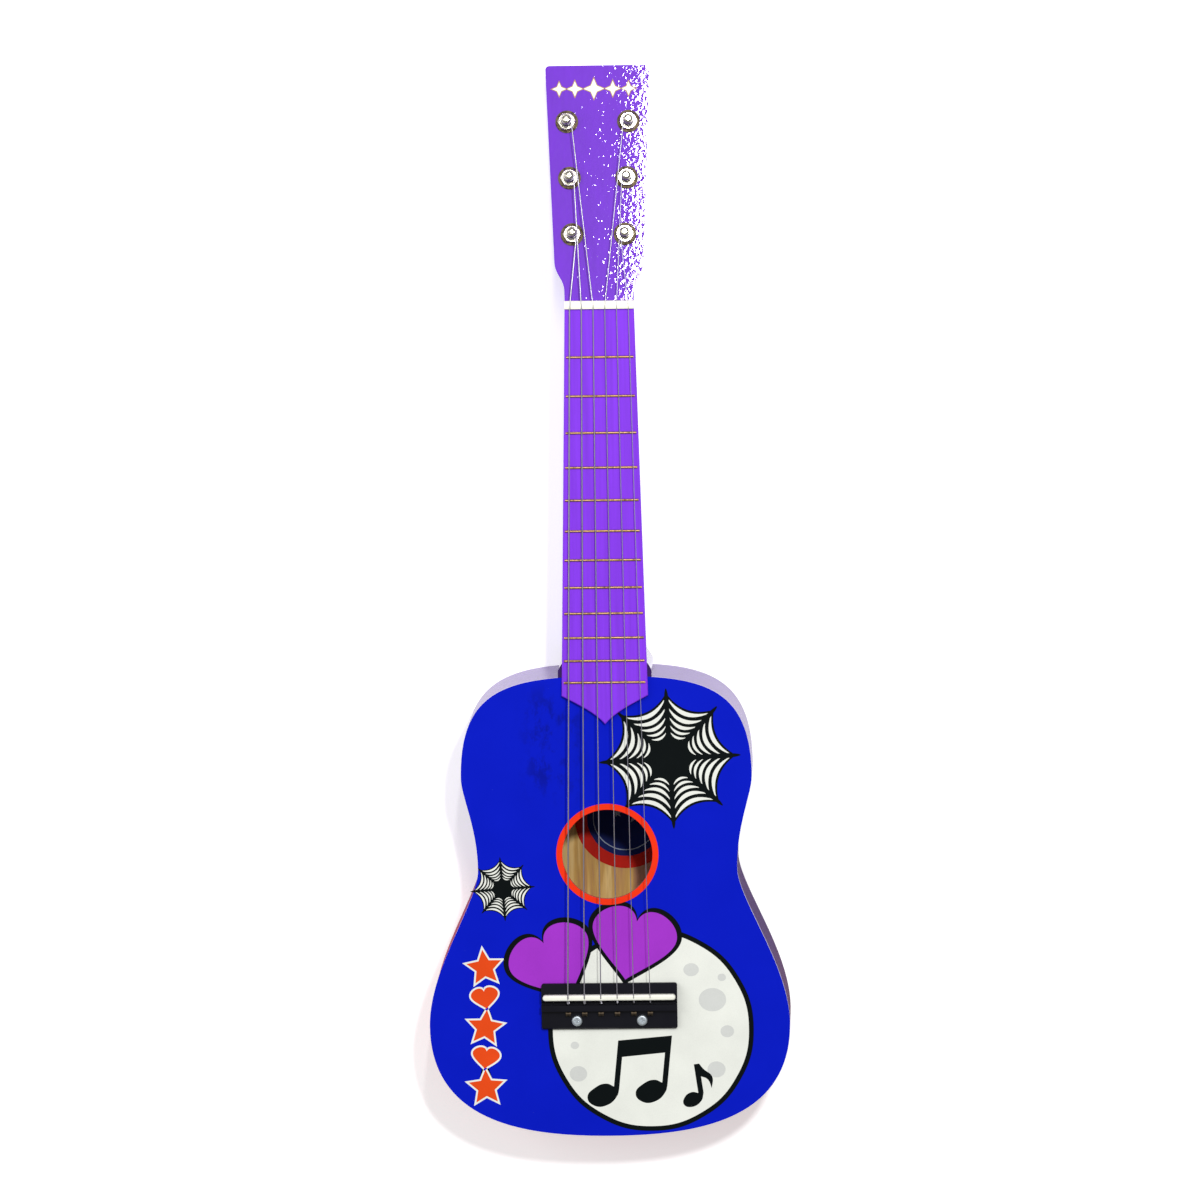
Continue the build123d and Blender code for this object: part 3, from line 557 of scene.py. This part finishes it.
def flat_print(outlines, low, high, spread=0, smooth=10):
    """A thin layer inside closed outlines, from height low to high, grown all round by spread."""
    bpy.ops.curve.primitive_bezier_circle_add(radius=1)
    thing = bpy.context.object
    curve = thing.data
    curve.splines.clear()
    curve.dimensions = "2D"
    curve.fill_mode = "BOTH"
    curve.resolution_u = smooth
    curve.extrude = (high - low) / 2
    curve.offset = spread
    for outline in outlines:
        spline = curve.splines.new("BEZIER")
        spline.bezier_points.add(len(outline) - 1)
        spline.use_cyclic_u = True
        for anchor, (point, handles, kind) in zip(spline.bezier_points, outline):
            anchor.co = point.to_3d()
            anchor.handle_left_type = anchor.handle_right_type = kind
            if handles:
                anchor.handle_left = handles[0].to_3d()
                anchor.handle_right = handles[1].to_3d()
    only(thing)
    bpy.ops.object.convert(target="MESH")
    thing = bpy.context.object
    thing.location.z = (low + high) / 2
    settle(thing)
    clean(thing)
    return thing


def film_print(outlines, name, ink, low, high, **shape):
    """A printed piece on the film, from low to high in layers above the film's top."""
    sheet = flat_print(outlines, FILM_TOP + low * LAYER, FILM_TOP + high * LAYER, **shape)
    hand_over(sheet, name, ink)


def turned(outline, degrees, centre, scale=1):
    """An outline drawn about the origin, scaled, turned and moved to centre."""
    turn = Matrix.Rotation(radians(degrees), 2)
    centre = Vector(centre)

    def put(point):
        return turn @ (point * scale) + centre

    return [(put(point), handles and tuple(put(h) for h in handles), kind)
            for point, handles, kind in outline]


def disc_outline(radius, centre=(0, 0), squeeze=1.0):
    """A circle or an ellipse as twelve smooth anchors."""
    return [rounded(centre[0] + radius * cos(step * pi / 6),
                    centre[1] + squeeze * radius * sin(step * pi / 6)) for step in range(12)]


def star_outline(points, outer, inner, turn=90):
    """A star with its first tip at turn degrees."""
    return [corner(*polar(outer if i % 2 == 0 else inner, turn + i * 180 / points))
            for i in range(2 * points)]


def heart_outline(width, height):
    """A plain heart about its own middle."""
    def at(x, y):
        return Vector((x * width, y * height))
    return [
        (at(0, -0.5), (at(-0.16, -0.32), at(0.16, -0.32)), "FREE"),
        (at(0.5, 0.14), (at(0.5, -0.08), at(0.5, 0.40)), "FREE"),
        (at(0, 0.28), (at(0.08, 0.60), at(-0.08, 0.60)), "FREE"),
        (at(-0.5, 0.14), (at(-0.5, 0.40), at(-0.5, -0.08)), "FREE"),
    ]


def sketched(points, sharp):
    """An outline from places in millimetres, smooth but for those numbered in sharp."""
    return [(Vector((x * MM, y * MM)), None, "VECTOR" if i in sharp else "AUTO")
            for i, (x, y) in enumerate(points)]


def paired_notes():
    """Two music notes under one beam, about 48 mm wide."""
    return sketched((
        (-10.6, 20), (-10.6, -7.5), (-15, -6.2), (-21.5, -9.2), (-25.5, -15.5), (-21, -20),
        (-13, -18.6), (-8, -12.4), (-7.4, -9), (-7.4, 10.5), (17.4, 15.5), (17.4, -2.5),
        (13, -1.2), (6.5, -4.2), (2.5, -10.5), (7, -15), (15, -13.6), (20, -7.4), (20.6, -4),
        (20.6, 26)), (0, 1, 8, 9, 10, 11, 18, 19))


def single_note():
    """One music note with a flag, about 24 mm high."""
    return sketched((
        (1.6, 12), (1.6, -4.6), (-2, -3.6), (-6.6, -6.2), (-7.4, -10), (-3.6, -12), (2.6, -9.4),
        (4.6, -5), (4.6, 4.6), (8, 2.4), (9.6, -3), (10.8, 3.6), (6.6, 8.6), (4.6, 12)),
        (0, 1, 7, 8, 10, 13))


def bent_wire(points, diameter, sides=2, smooth=6):
    """A round wire that follows points smoothly and is closed at both ends."""
    bpy.ops.curve.primitive_nurbs_path_add(radius=1)
    thing = bpy.context.object
    curve = thing.data
    curve.splines.clear()
    spline = curve.splines.new("NURBS")
    spline.points.add(len(points) - 1)
    for anchor, point in zip(spline.points, points):
        anchor.co = (*point, 1)
    spline.order_u = 3
    spline.use_endpoint_u = True
    spline.resolution_u = smooth
    curve.resolution_u = smooth
    curve.bevel_depth = diameter / 2
    curve.bevel_resolution = sides
    curve.use_fill_caps = True
    only(thing)
    bpy.ops.object.convert(target="MESH")
    thing = bpy.context.object
    clean(thing)
    only(thing)
    bpy.ops.object.shade_smooth_by_angle(angle=radians(50))
    return thing


# ---------------------------------------------------------------- pieces

class TOYGUITAR_OT_ring(bpy.types.Operator):
    """Print the ring round the sound hole"""
    bl_idname = "toyguitar.ring"
    bl_label = "Sound hole ring"

    def execute(self, context):
        colours = context.scene.guitar_print
        thickness = 5 * LAYER
        bpy.ops.mesh.primitive_circle_add(vertices=144, radius=HOLE_RADIUS, fill_type="NOTHING",
                                          location=(0, 0, FILM_TOP + thickness))
        ring = bpy.context.object
        settle(ring)
        bpy.ops.object.mode_set(mode="EDIT")
        bpy.ops.mesh.select_all(action="SELECT")
        bpy.ops.mesh.extrude_region_move()
        growth = colours.ring_diameter / 2 / HOLE_RADIUS
        bpy.ops.transform.resize(value=(growth, growth, 1), center_override=(0, 0, 0))
        bpy.ops.mesh.select_all(action="SELECT")
        bpy.ops.mesh.extrude_region_move(TRANSFORM_OT_translate={"value": (0, 0, -thickness)})
        bpy.ops.object.mode_set(mode="OBJECT")
        clean(ring)
        hand_over(ring, "sound_hole_ring", print_ink("ring_ink", colours.ring_red))
        return {"FINISHED"}


def web_layers(centre, reach, turn):
    """Black ground and white threads of a round web of eight spokes."""
    size = reach / WEB_DRAWN_REACH
    spoke = 1.2 * size

    def at(radius, sector, aside=0, half=0):
        """A point at radius along a spoke, or between two spokes, with a step to one side."""
        angle = turn + 45 * sector + 22.5 * half
        direction = polar(1, angle)
        across = Vector((-direction.y, direction.x))
        return Vector(centre) + direction * radius * size + across * aside

    ground = []
    for sector in range(8):
        ground.append((at(39.3, sector, -spoke), at(41.6, sector, -spoke * 0.75)))
        ground.append((at(WEB_DRAWN_REACH, sector, -0.3 * spoke), at(43.9, sector)))
        ground.append((at(WEB_DRAWN_REACH, sector, 0.3 * spoke), at(41.6, sector, spoke * 0.75)))
        ground.append((at(39.3, sector, spoke), at(32.4, sector, 0, 1)))
    threads = []
    for radius, thick, sag in ((37.0, 2.6, 0.835), (31.2, 2.6, 0.84), (25.6, 2.2, 0.85),
                               (20.6, 1.7, 0.865), (16.4, 1.5, 0.89)):
        for sector in range(8):
            start, end = at(radius, sector, 1.2 * spoke), at(radius, sector + 1, -1.2 * spoke)
            foot = radius - 0.55 * thick
            start_foot = at(foot, sector, 1.35 * spoke)
            end_foot = at(foot, sector + 1, -1.35 * spoke)
            threads.append(bowed_outline([
                (start, at(radius * sag, sector, 0, 1)),
                (end, (end + end_foot) / 2),
                (end_foot, at(radius * sag - thick, sector, 0, 1)),
                (start_foot, (start + start_foot) / 2)]))
    return bowed_outline(ground), threads


class TOYGUITAR_OT_webs(bpy.types.Operator):
    """Print the large and the small web"""
    bl_idname = "toyguitar.webs"
    bl_label = "Webs"

    def execute(self, context):
        colours = context.scene.guitar_print
        black = print_ink("web_ground_ink", colours.print_black)
        white = print_ink("web_thread_ink", colours.print_white)
        for name, centre, reach, turn in (
                ("web_large", (39.6, 59.5), colours.web_reach, 2.6),
                ("web_small", (-65.4, -21.2), colours.small_web_reach, 4.0)):
            centre = Vector(centre) * MM
            ground, threads = web_layers(centre, reach, turn)
            film_print([ground], name + "_ground", black, 0, 1)
            film_print(threads, name + "_threads", white, 0.5, 2)
        return {"FINISHED"}


class TOYGUITAR_OT_moon(bpy.types.Operator):
    """Print the moon with its craters and notes"""
    bl_idname = "toyguitar.moon"
    bl_label = "Moon"

    def execute(self, context):
        colours = context.scene.guitar_print
        centre = (25.5 * MM, -110.5 * MM)
        radius = colours.moon_radius
        film_print([disc_outline(radius + colours.outline_width, centre)], "moon_outline",
                   print_ink("moon_outline_ink", colours.print_black), 0, 1)
        film_print([disc_outline(radius, centre)], "moon_disc",
                   print_ink("moon_ink", colours.print_white), 0.5, 2)
        craters = []
        for x, y, size, squeeze in (
                (64, -92, 8.5, 0.86), (73, -112, 4.2, 0.9), (51, -73, 4.8, 0.85),
                (-20, -138, 5.4, 0.9), (66, -136, 5.6, 0.9), (70, -78, 2.6, 0.9),
                (-22, -120, 2.6, 0.9)):
            craters.append(disc_outline(size * MM, (x * MM, y * MM), squeeze))
        film_print(craters, "moon_craters", print_ink("crater_ink", colours.print_grey), 1.5, 3)
        notes = [turned(paired_notes(), -6, (14 * MM, -139.5 * MM), 1.06),
                 turned(single_note(), 8, (52 * MM, -146 * MM), 1.1)]
        film_print(notes, "moon_notes", print_ink("note_ink", colours.print_black), 1.5, 3.2)
        return {"FINISHED"}


class TOYGUITAR_OT_hearts(bpy.types.Operator):
    """Print the two hearts"""
    bl_idname = "toyguitar.hearts"
    bl_label = "Hearts"

    def execute(self, context):
        colours = context.scene.guitar_print
        ink = print_ink("heart_ink", colours.print_purple)
        black = print_ink("heart_outline_ink", colours.print_black)
        width, line = colours.heart_width, colours.outline_width
        for name, centre, turn, lift in (("heart_left", (-34.5, -67.5), 26, 2.5),
                                         ("heart_right", (15, -55.5), -12, 4.1)):
            centre = Vector(centre) * MM
            outline = turned(heart_outline(width, 0.9 * width), turn, centre)
            border = turned(heart_outline(width + 2 * line, 0.9 * width + 2.2 * line), turn, centre)
            film_print([border], name + "_outline", black, lift - 0.8, lift, smooth=24)
            film_print([outline], name, ink, lift - 0.4, lift + 0.7, smooth=24)
        return {"FINISHED"}


class TOYGUITAR_OT_side_column(bpy.types.Operator):
    """Print the column of stars and hearts at the side"""
    bl_idname = "toyguitar.side_column"
    bl_label = "Side stars and hearts"

    def execute(self, context):
        colours = context.scene.guitar_print
        orange = print_ink("column_ink", colours.print_orange)
        white = print_ink("column_border_ink", colours.print_white)
        star, heart = star_outline(5, 11.4 * MM, 5.4 * MM, 0), heart_outline(17 * MM, 14 * MM)
        pitch = 18.9
        marks = []
        for step, (shape, turn) in enumerate(((star, 96), (heart, 8), (star, 84), (heart, -8),
                                              (star, 92))):
            marks.append(turned(shape, turn, Vector((-77.5, -70.5 - pitch * step)) * MM))
        film_print(marks, "side_column_border", white, 0, 1, spread=1.1 * MM)
        film_print(marks, "side_column_marks", orange, 0.5, 2)
        return {"FINISHED"}


class TOYGUITAR_OT_headstock_mark(bpy.types.Operator):
    """Print the row of sparkles near the end of the headstock"""
    bl_idname = "toyguitar.headstock_mark"
    bl_label = "Headstock sparkles"

    def execute(self, context):
        colours = context.scene.guitar_print
        row_from_nut = 131.5 * MM
        marks = []
        for x, size in ((-23.6, 4.4), (-13.9, 4.9), (-2.2, 6.4), (9.5, 4.9), (19.2, 4.4)):
            marks.append(turned(star_outline(4, size * MM, 0.42 * size * MM, 90), 0, (x * MM, 0)))
        down_face = Vector((0, cos(HEADSTOCK_TILT), -sin(HEADSTOCK_TILT)))
        start = Vector((0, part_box("string_nut")[1].y, FILM_TOP))
        for name, spread, low, high, ink in (
                ("headstock_sparkle_shade", 0.45 * MM, 0, 0.03, tone(172, 128, 60)),
                ("headstock_sparkles", 0, 0.015, 0.06, tuple(colours.print_white))):
            mark = join([flat_print([one], low * MM, high * MM, spread=spread) for one in marks])
            mark.rotation_euler.x = -HEADSTOCK_TILT
            mark.location = start + down_face * row_from_nut
            settle(mark)
            hand_over(mark, name, print_ink(name + "_ink", ink, 0.3))
        return {"FINISHED"}


class TOYGUITAR_OT_label(bpy.types.Operator):
    """Print the inside label"""
    bl_idname = "toyguitar.label"
    bl_label = "Inside label print"

    def execute(self, context):
        paint = context.scene.guitar_paint
        low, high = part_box("inside_label")
        centre = (low + high) / 2
        middle = flat_print([disc_outline(24.2 * MM, centre.xy)], high.z, high.z + LAYER)
        hand_over(middle, "label_middle", paper("label_blue_paper", paint.label_blue))
        marks = [disc_outline(20.6 * MM, centre.xy), disc_outline(20.0 * MM, centre.xy)]
        for x, y, tip, notch in ((6, 1, 5, 2.2), (-5, 3, 3, 1.3), (13, -4, 2.2, 1.0)):
            marks.append(turned(star_outline(5, tip * MM, notch * MM), 0,
                                (centre.x + x * MM, centre.y + y * MM)))
        lines = flat_print(marks, high.z + 0.5 * LAYER, high.z + 2 * LAYER)
        hand_over(lines, "label_stars", paper("label_white_paper", tone(150, 160, 176)))
        return {"FINISHED"}


def peg_frame(number):
    """Origin and the three directions of a peg: across, down the headstock face, and out of it."""
    joint = next(j for j in frame["joints"] if j["name"] == f"peg_{number}_turn")
    axis = Vector(joint["axis"]).normalized()
    across = Vector((1, 0, 0))
    return Vector(joint["pos_m"]), across, axis.cross(across), axis


def string_diameter(wires, number):
    """The strings grow evenly from the first to the last, a little faster past the second."""
    share = (0, 0.111, 0.333, 0.556, 0.778, 1)[number - 1]
    return wires.first_diameter + share * (wires.last_diameter - wires.first_diameter)


def string_landing(wires, number):
    """A string's place on the nut, its end at the peg, that end's place and heading in the peg's
    plane, the winding's lowest and highest points, and the string's diameter."""
    origin, across, down_face, axis = peg_frame(number)
    nut_low, nut_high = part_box("string_nut")
    nut = Vector(((3.5 - number) * wires.nut_pitch, nut_low.y + 1.3 * MM, nut_high.z))
    winding = frame["nodes"][f"peg_winding_{number}"].data
    coil = [(vertex.co - origin).dot(axis) for vertex in winding.vertices]
    diameter = string_diameter(wires, number)
    radius = wires.post_radius + diameter / 2
    from_nut = origin - nut
    u, v = from_nut.dot(across), from_nut.dot(down_face)
    reach = hypot(u, v)
    inward = 1 if origin.x > 0 else -1
    heading = atan2(v, u) + inward * asin(radius / reach)
    run = sqrt(reach ** 2 - radius ** 2)
    contact = Vector((run * cos(heading) - u, run * sin(heading) - v))
    top = max(coil) - diameter / 2
    landing = origin + across * contact.x + down_face * contact.y + axis * top
    return nut, landing, contact, heading, (min(coil), max(coil)), diameter


class TOYGUITAR_OT_strings(bpy.types.Operator):
    """Draw the six strings from their ball ends to the pegs"""
    bl_idname = "toyguitar.strings"
    bl_label = "Strings"

    def execute(self, context):
        wires = context.scene.guitar_strings
        paint = context.scene.guitar_paint
        ball_low, ball_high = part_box("string_ball_ends")
        saddle_low, saddle_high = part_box("bridge_saddle")
        steel = metal("string_wire", paint.steel, tone(120, 116, 112), 0.3, 0.35, (1, 0.2, 1))
        tie_hole = 4.2 * MM
        for number in range(1, 7):
            nut, landing, contact, heading, coil, diameter = string_landing(wires, number)
            x = (3.5 - number) * wires.saddle_pitch
            start = Vector((x, ball_high.y, (ball_low.z + ball_high.z) / 2))
            mouth = start + Vector((0, tie_hole, 0))
            saddle = Vector((x, (saddle_low.y + saddle_high.y) / 2, saddle_high.z + 0.25 * MM))
            route = [start]
            for before, here, after, ease in ((start, mouth, saddle, 1.6),
                                              (mouth, saddle, nut, 1.6),
                                              (saddle, nut, landing, 4)):
                route.append(here + (before - here).normalized() * ease * MM)
                route.append(here)
                route.append(here + (after - here).normalized() * ease * MM)
            route.append(landing)
            parts = [bent_wire(route, diameter)]
            ramp = saddle - mouth
            side = Vector((1, 0, 0))
            out = ramp.normalized().cross(side)
            steps, twist = wires.wrap_turns * 12, []
            for step in range(steps + 1):
                angle = step * pi / 6
                centre = mouth + ramp * (0.12 + 0.55 * step / steps)
                twist.append(centre + (side * cos(angle) + out * sin(angle)) * diameter * 0.8)
            parts.append(bent_wire(twist, diameter * 0.8, sides=1, smooth=2))
            hand_over(join(parts), f"string_wire_{number}", steel,
                      replaces=f"string_{number}")
        return {"FINISHED"}


class TOYGUITAR_OT_windings(bpy.types.Operator):
    """Wind each string's end round its peg"""
    bl_idname = "toyguitar.windings"
    bl_label = "String windings"

    def execute(self, context):
        wires = context.scene.guitar_strings
        paint = context.scene.guitar_paint
        steel = metal("winding_wire", paint.steel, tone(120, 116, 112), 0.3, 0.35)
        steps_per_turn, sink_per_step = 20, 0.35 * MM
        for number in range(1, 7):
            origin, across, down_face, axis = peg_frame(number)
            nut, landing, contact, heading, (low, high), diameter = string_landing(wires, number)
            radius = wires.post_radius + diameter / 2
            turning = 1 if contact.x * sin(heading) - contact.y * cos(heading) > 0 else -1
            first = atan2(contact.y, contact.x)
            turns = (high - low) / diameter - 0.8
            steps = ceil(turns * steps_per_turn)
            points = []
            for step in range(-2, steps + 4):
                share = min(max(step, 0) / steps, 1)
                angle = first + turning * 2 * pi * turns * step / steps
                sink = max(step - steps, 0) * sink_per_step
                height = high - diameter / 2 - share * (high - low - diameter)
                points.append(origin + axis * height
                              + (across * cos(angle) + down_face * sin(angle)) * (radius - sink))
            coil = bent_wire(points, diameter * 0.98, sides=2, smooth=2)
            hand_over(coil, f"winding_{number}", steel, f"peg_{number}",
                      f"peg_winding_{number}")
        return {"FINISHED"}


# ---------------------------------------------------------------- finishes of the CAD parts

class TOYGUITAR_OT_finishes(bpy.types.Operator):
    """Give every CAD part its finish"""
    bl_idname = "toyguitar.finishes"
    bl_label = "Finishes"

    def execute(self, context):
        colours = context.scene.guitar_print
        paint = context.scene.guitar_paint
        nickel = metal("peg_nickel", paint.nickel, tone(128, 118, 98), 0.07, 0.3)
        # the peg washers are made very dark, near black-brown, darker than the nuts on them
        dark_washer_metal = metal("washer_dark_metal", tone(58, 50, 38), tone(24, 20, 15), 0.34, 0.8)
        zinc = metal("zinc_plate", paint.zinc, tone(140, 144, 150), 0.42, 0.3)
        pearl = plastic("button_pearl", paint.button_pearl, tone(205, 200, 186), 0.24, 0.6, 4)
        finishes = {
            "top_film": film_finish(colours),
            "soundboard": soundboard_finish(paint),
            "back_plate": back_finish(paint),
            "neck": neck_finish(paint),
            "fingerboard": board_finish(paint),
            "inside_label": paper("label_red_paper", paint.label_red),
            "frets": metal("fret_wire", paint.fret_brass, tone(84, 56, 50), 0.34, 0.8),
            "string_nut": plastic("nut_cream_plastic", paint.nut_cream, tone(190, 176, 140), 0.36),
            "bridge_saddle": plastic("saddle_white_plastic", paint.saddle_white,
                                     tone(200, 192, 168), 0.32),
            "bridge_base": plastic("bridge_black_plastic", paint.bridge_black, tone(40, 40, 52),
                                   0.3, 0.2, 0.6, 0.03),
            # very dark ball ends, as dark as the trough behind the saddle
            "string_ball_ends": metal("ball_end_brass", paint.ball_brass, tone(36, 30, 26), 0.45),
            "peg_washers": dark_washer_metal,
        }
        finishes.update(dict.fromkeys(("side_bass", "side_treble"), side_finish(paint)))
        finishes.update(dict.fromkeys(("bridge_screws", "bridge_washers", "bridge_hex_nuts",
                                       "neck_screws"), zinc))
        finishes.update(dict.fromkeys(("peg_sleeves", "peg_hex_nuts", "peg_spring_washers"),
                                      nickel))
        for node in ("top_linings", "back_linings", "neck_block", "tail_block", "top_brace_upper",
                     "top_brace_lower", "back_brace_upper", "back_brace_lower", "bridge_patch"):
            finishes[node] = bare_wood(node + "_wood", paint, node)
        for number in range(1, 7):
            for stem, material in (("peg_shaft", nickel), ("peg_button", pearl),
                                   ("peg_screw", zinc), ("peg_winding", zinc), ("string", zinc)):
                finishes[f"{stem}_{number}"] = material
        unfinished = sorted(set(frame["nodes"]) - set(finishes))
        if unfinished:
            raise RuntimeError(f"no finish is given for {unfinished}")
        for node, material in finishes.items():
            slots = frame["nodes"][node].data.materials
            slots.clear()
            slots.append(material)
        return {"FINISHED"}


# ---------------------------------------------------------------- stage

def area_lamp(name, place, aim, size, power, shape="RECTANGLE", turn=0):
    """A soft lamp at place that shines at aim, turned by turn degrees about the upright."""
    bpy.ops.object.light_add(type="AREA", location=place)
    lamp = bpy.context.object
    lamp.name = name
    lamp.data.shape = shape
    lamp.data.size, lamp.data.size_y = size
    lamp.data.energy = power
    facing = (Vector(aim) - Vector(place)).to_track_quat("-Z", "Y").to_matrix()
    lamp.rotation_euler = (Matrix.Rotation(radians(turn), 3, "Z") @ facing).to_euler()
    lamp.visible_camera = False


class TOYGUITAR_OT_stage(bpy.types.Operator):
    """Set the floor, the lamps and the camera"""
    bl_idname = "toyguitar.stage"
    bl_label = "Stage"

    def execute(self, context):
        stage = context.scene.guitar_stage
        bpy.ops.object.select_all(action="DESELECT")
        bpy.ops.mesh.primitive_plane_add(size=9, location=(0, 0.15, -0.0002))
        floor = bpy.context.object
        floor.name = "floor"
        settle(floor)
        finish = Finish("floor_paper", Specular_IOR_Level=0.05, Emission_Strength=0.42)
        cloud = finish.noise(0.9, 2)
        base = finish.blend(cloud * 0.02, tuple(stage.floor_white), (1, 1, 1))
        finish.feed(finish.shader.inputs["Emission Color"], base)
        floor.data.materials.append(finish.surface(base, 0.8))

        top = Vector((-0.0022, 0.159, FILM_TOP))
        towards = Vector((tan(stage.tilt_right), tan(stage.tilt_up), 1)).normalized()
        right = Vector((0, 1, 0)).cross(towards).normalized()
        up = towards.cross(right)
        right, up = (right * cos(stage.roll) - up * sin(stage.roll),
                     right * sin(stage.roll) + up * cos(stage.roll))
        bpy.ops.object.camera_add(location=top + towards * stage.camera_distance)
        camera = bpy.context.object
        camera.name = "front_camera"
        camera.rotation_euler = Matrix((right, up, towards)).transposed().to_euler()
        camera.data.sensor_fit = "VERTICAL"
        sensor = 36
        camera.data.sensor_height = sensor
        camera.data.lens = sensor * stage.camera_distance / stage.view_height
        camera.data.clip_end = 50
        camera.data.dof.use_dof = False
        bpy.context.scene.camera = camera

        middle = (0, 0.1, 0.06)
        area_lamp("key_lamp", (0.62, 1.25, 3.0), middle, (0.26, 0.26), stage.key_power, "DISK")
        area_lamp("fill_lamp", (-2.0, 0.9, 2.4), middle, (1.6, 2.2), stage.fill_power)
        area_lamp("strip_lamp", (0.020, 0.79, 1.05), (0.020, 0.42, 0.04), (0.044, 0.40),
                  stage.strip_power, turn=-4.4)
        world = bpy.data.worlds.new("soft_sky")
        bpy.context.scene.world = world
        world.use_nodes = True
        sky = world.node_tree.nodes["Background"]
        sky.inputs["Color"].default_value = (1, 1, 1, 1)
        sky.inputs["Strength"].default_value = stage.sky
        bpy.context.scene.view_settings.view_transform = "Standard"
        return {"FINISHED"}


PIECE_OPERATORS = (
    TOYGUITAR_OT_stage,
    TOYGUITAR_OT_finishes,
    TOYGUITAR_OT_ring,
    TOYGUITAR_OT_webs,
    TOYGUITAR_OT_moon,
    TOYGUITAR_OT_hearts,
    TOYGUITAR_OT_side_column,
    TOYGUITAR_OT_headstock_mark,
    TOYGUITAR_OT_label,
    TOYGUITAR_OT_strings,
    TOYGUITAR_OT_windings,
)
SETTINGS = {
    "guitar_print": GuitarPrint,
    "guitar_paint": GuitarPaint,
    "guitar_strings": GuitarStrings,
    "guitar_stage": GuitarStage,
}


class TOYGUITAR_PT_panel(bpy.types.Panel):
    """Lists the settings and the pieces of the toy guitar"""
    bl_idname = "TOYGUITAR_PT_panel"
    bl_label = "Toy guitar"
    bl_space_type = "VIEW_3D"
    bl_region_type = "UI"
    bl_category = "Toy guitar"

    def draw(self, context):
        for group in SETTINGS:
            box = self.layout.box()
            settings = getattr(context.scene, group)
            for name in settings.bl_rna.properties.keys():
                if name not in ("rna_type", "name"):
                    box.prop(settings, name)
        for operator in PIECE_OPERATORS:
            self.layout.operator(operator.bl_idname)


CLASSES = (*SETTINGS.values(), *PIECE_OPERATORS, TOYGUITAR_PT_panel)


def register():
    for cls in CLASSES:
        bpy.utils.register_class(cls)
    for name, group in SETTINGS.items():
        setattr(bpy.types.Scene, name, PointerProperty(type=group))


def unregister():
    for name in SETTINGS:
        delattr(bpy.types.Scene, name)
    for cls in reversed(CLASSES):
        bpy.utils.unregister_class(cls)


def main():
    register()
    for operator in PIECE_OPERATORS:
        getattr(bpy.ops.toyguitar, operator.bl_idname.split(".")[1])()


if __name__ == "__main__":
    main()
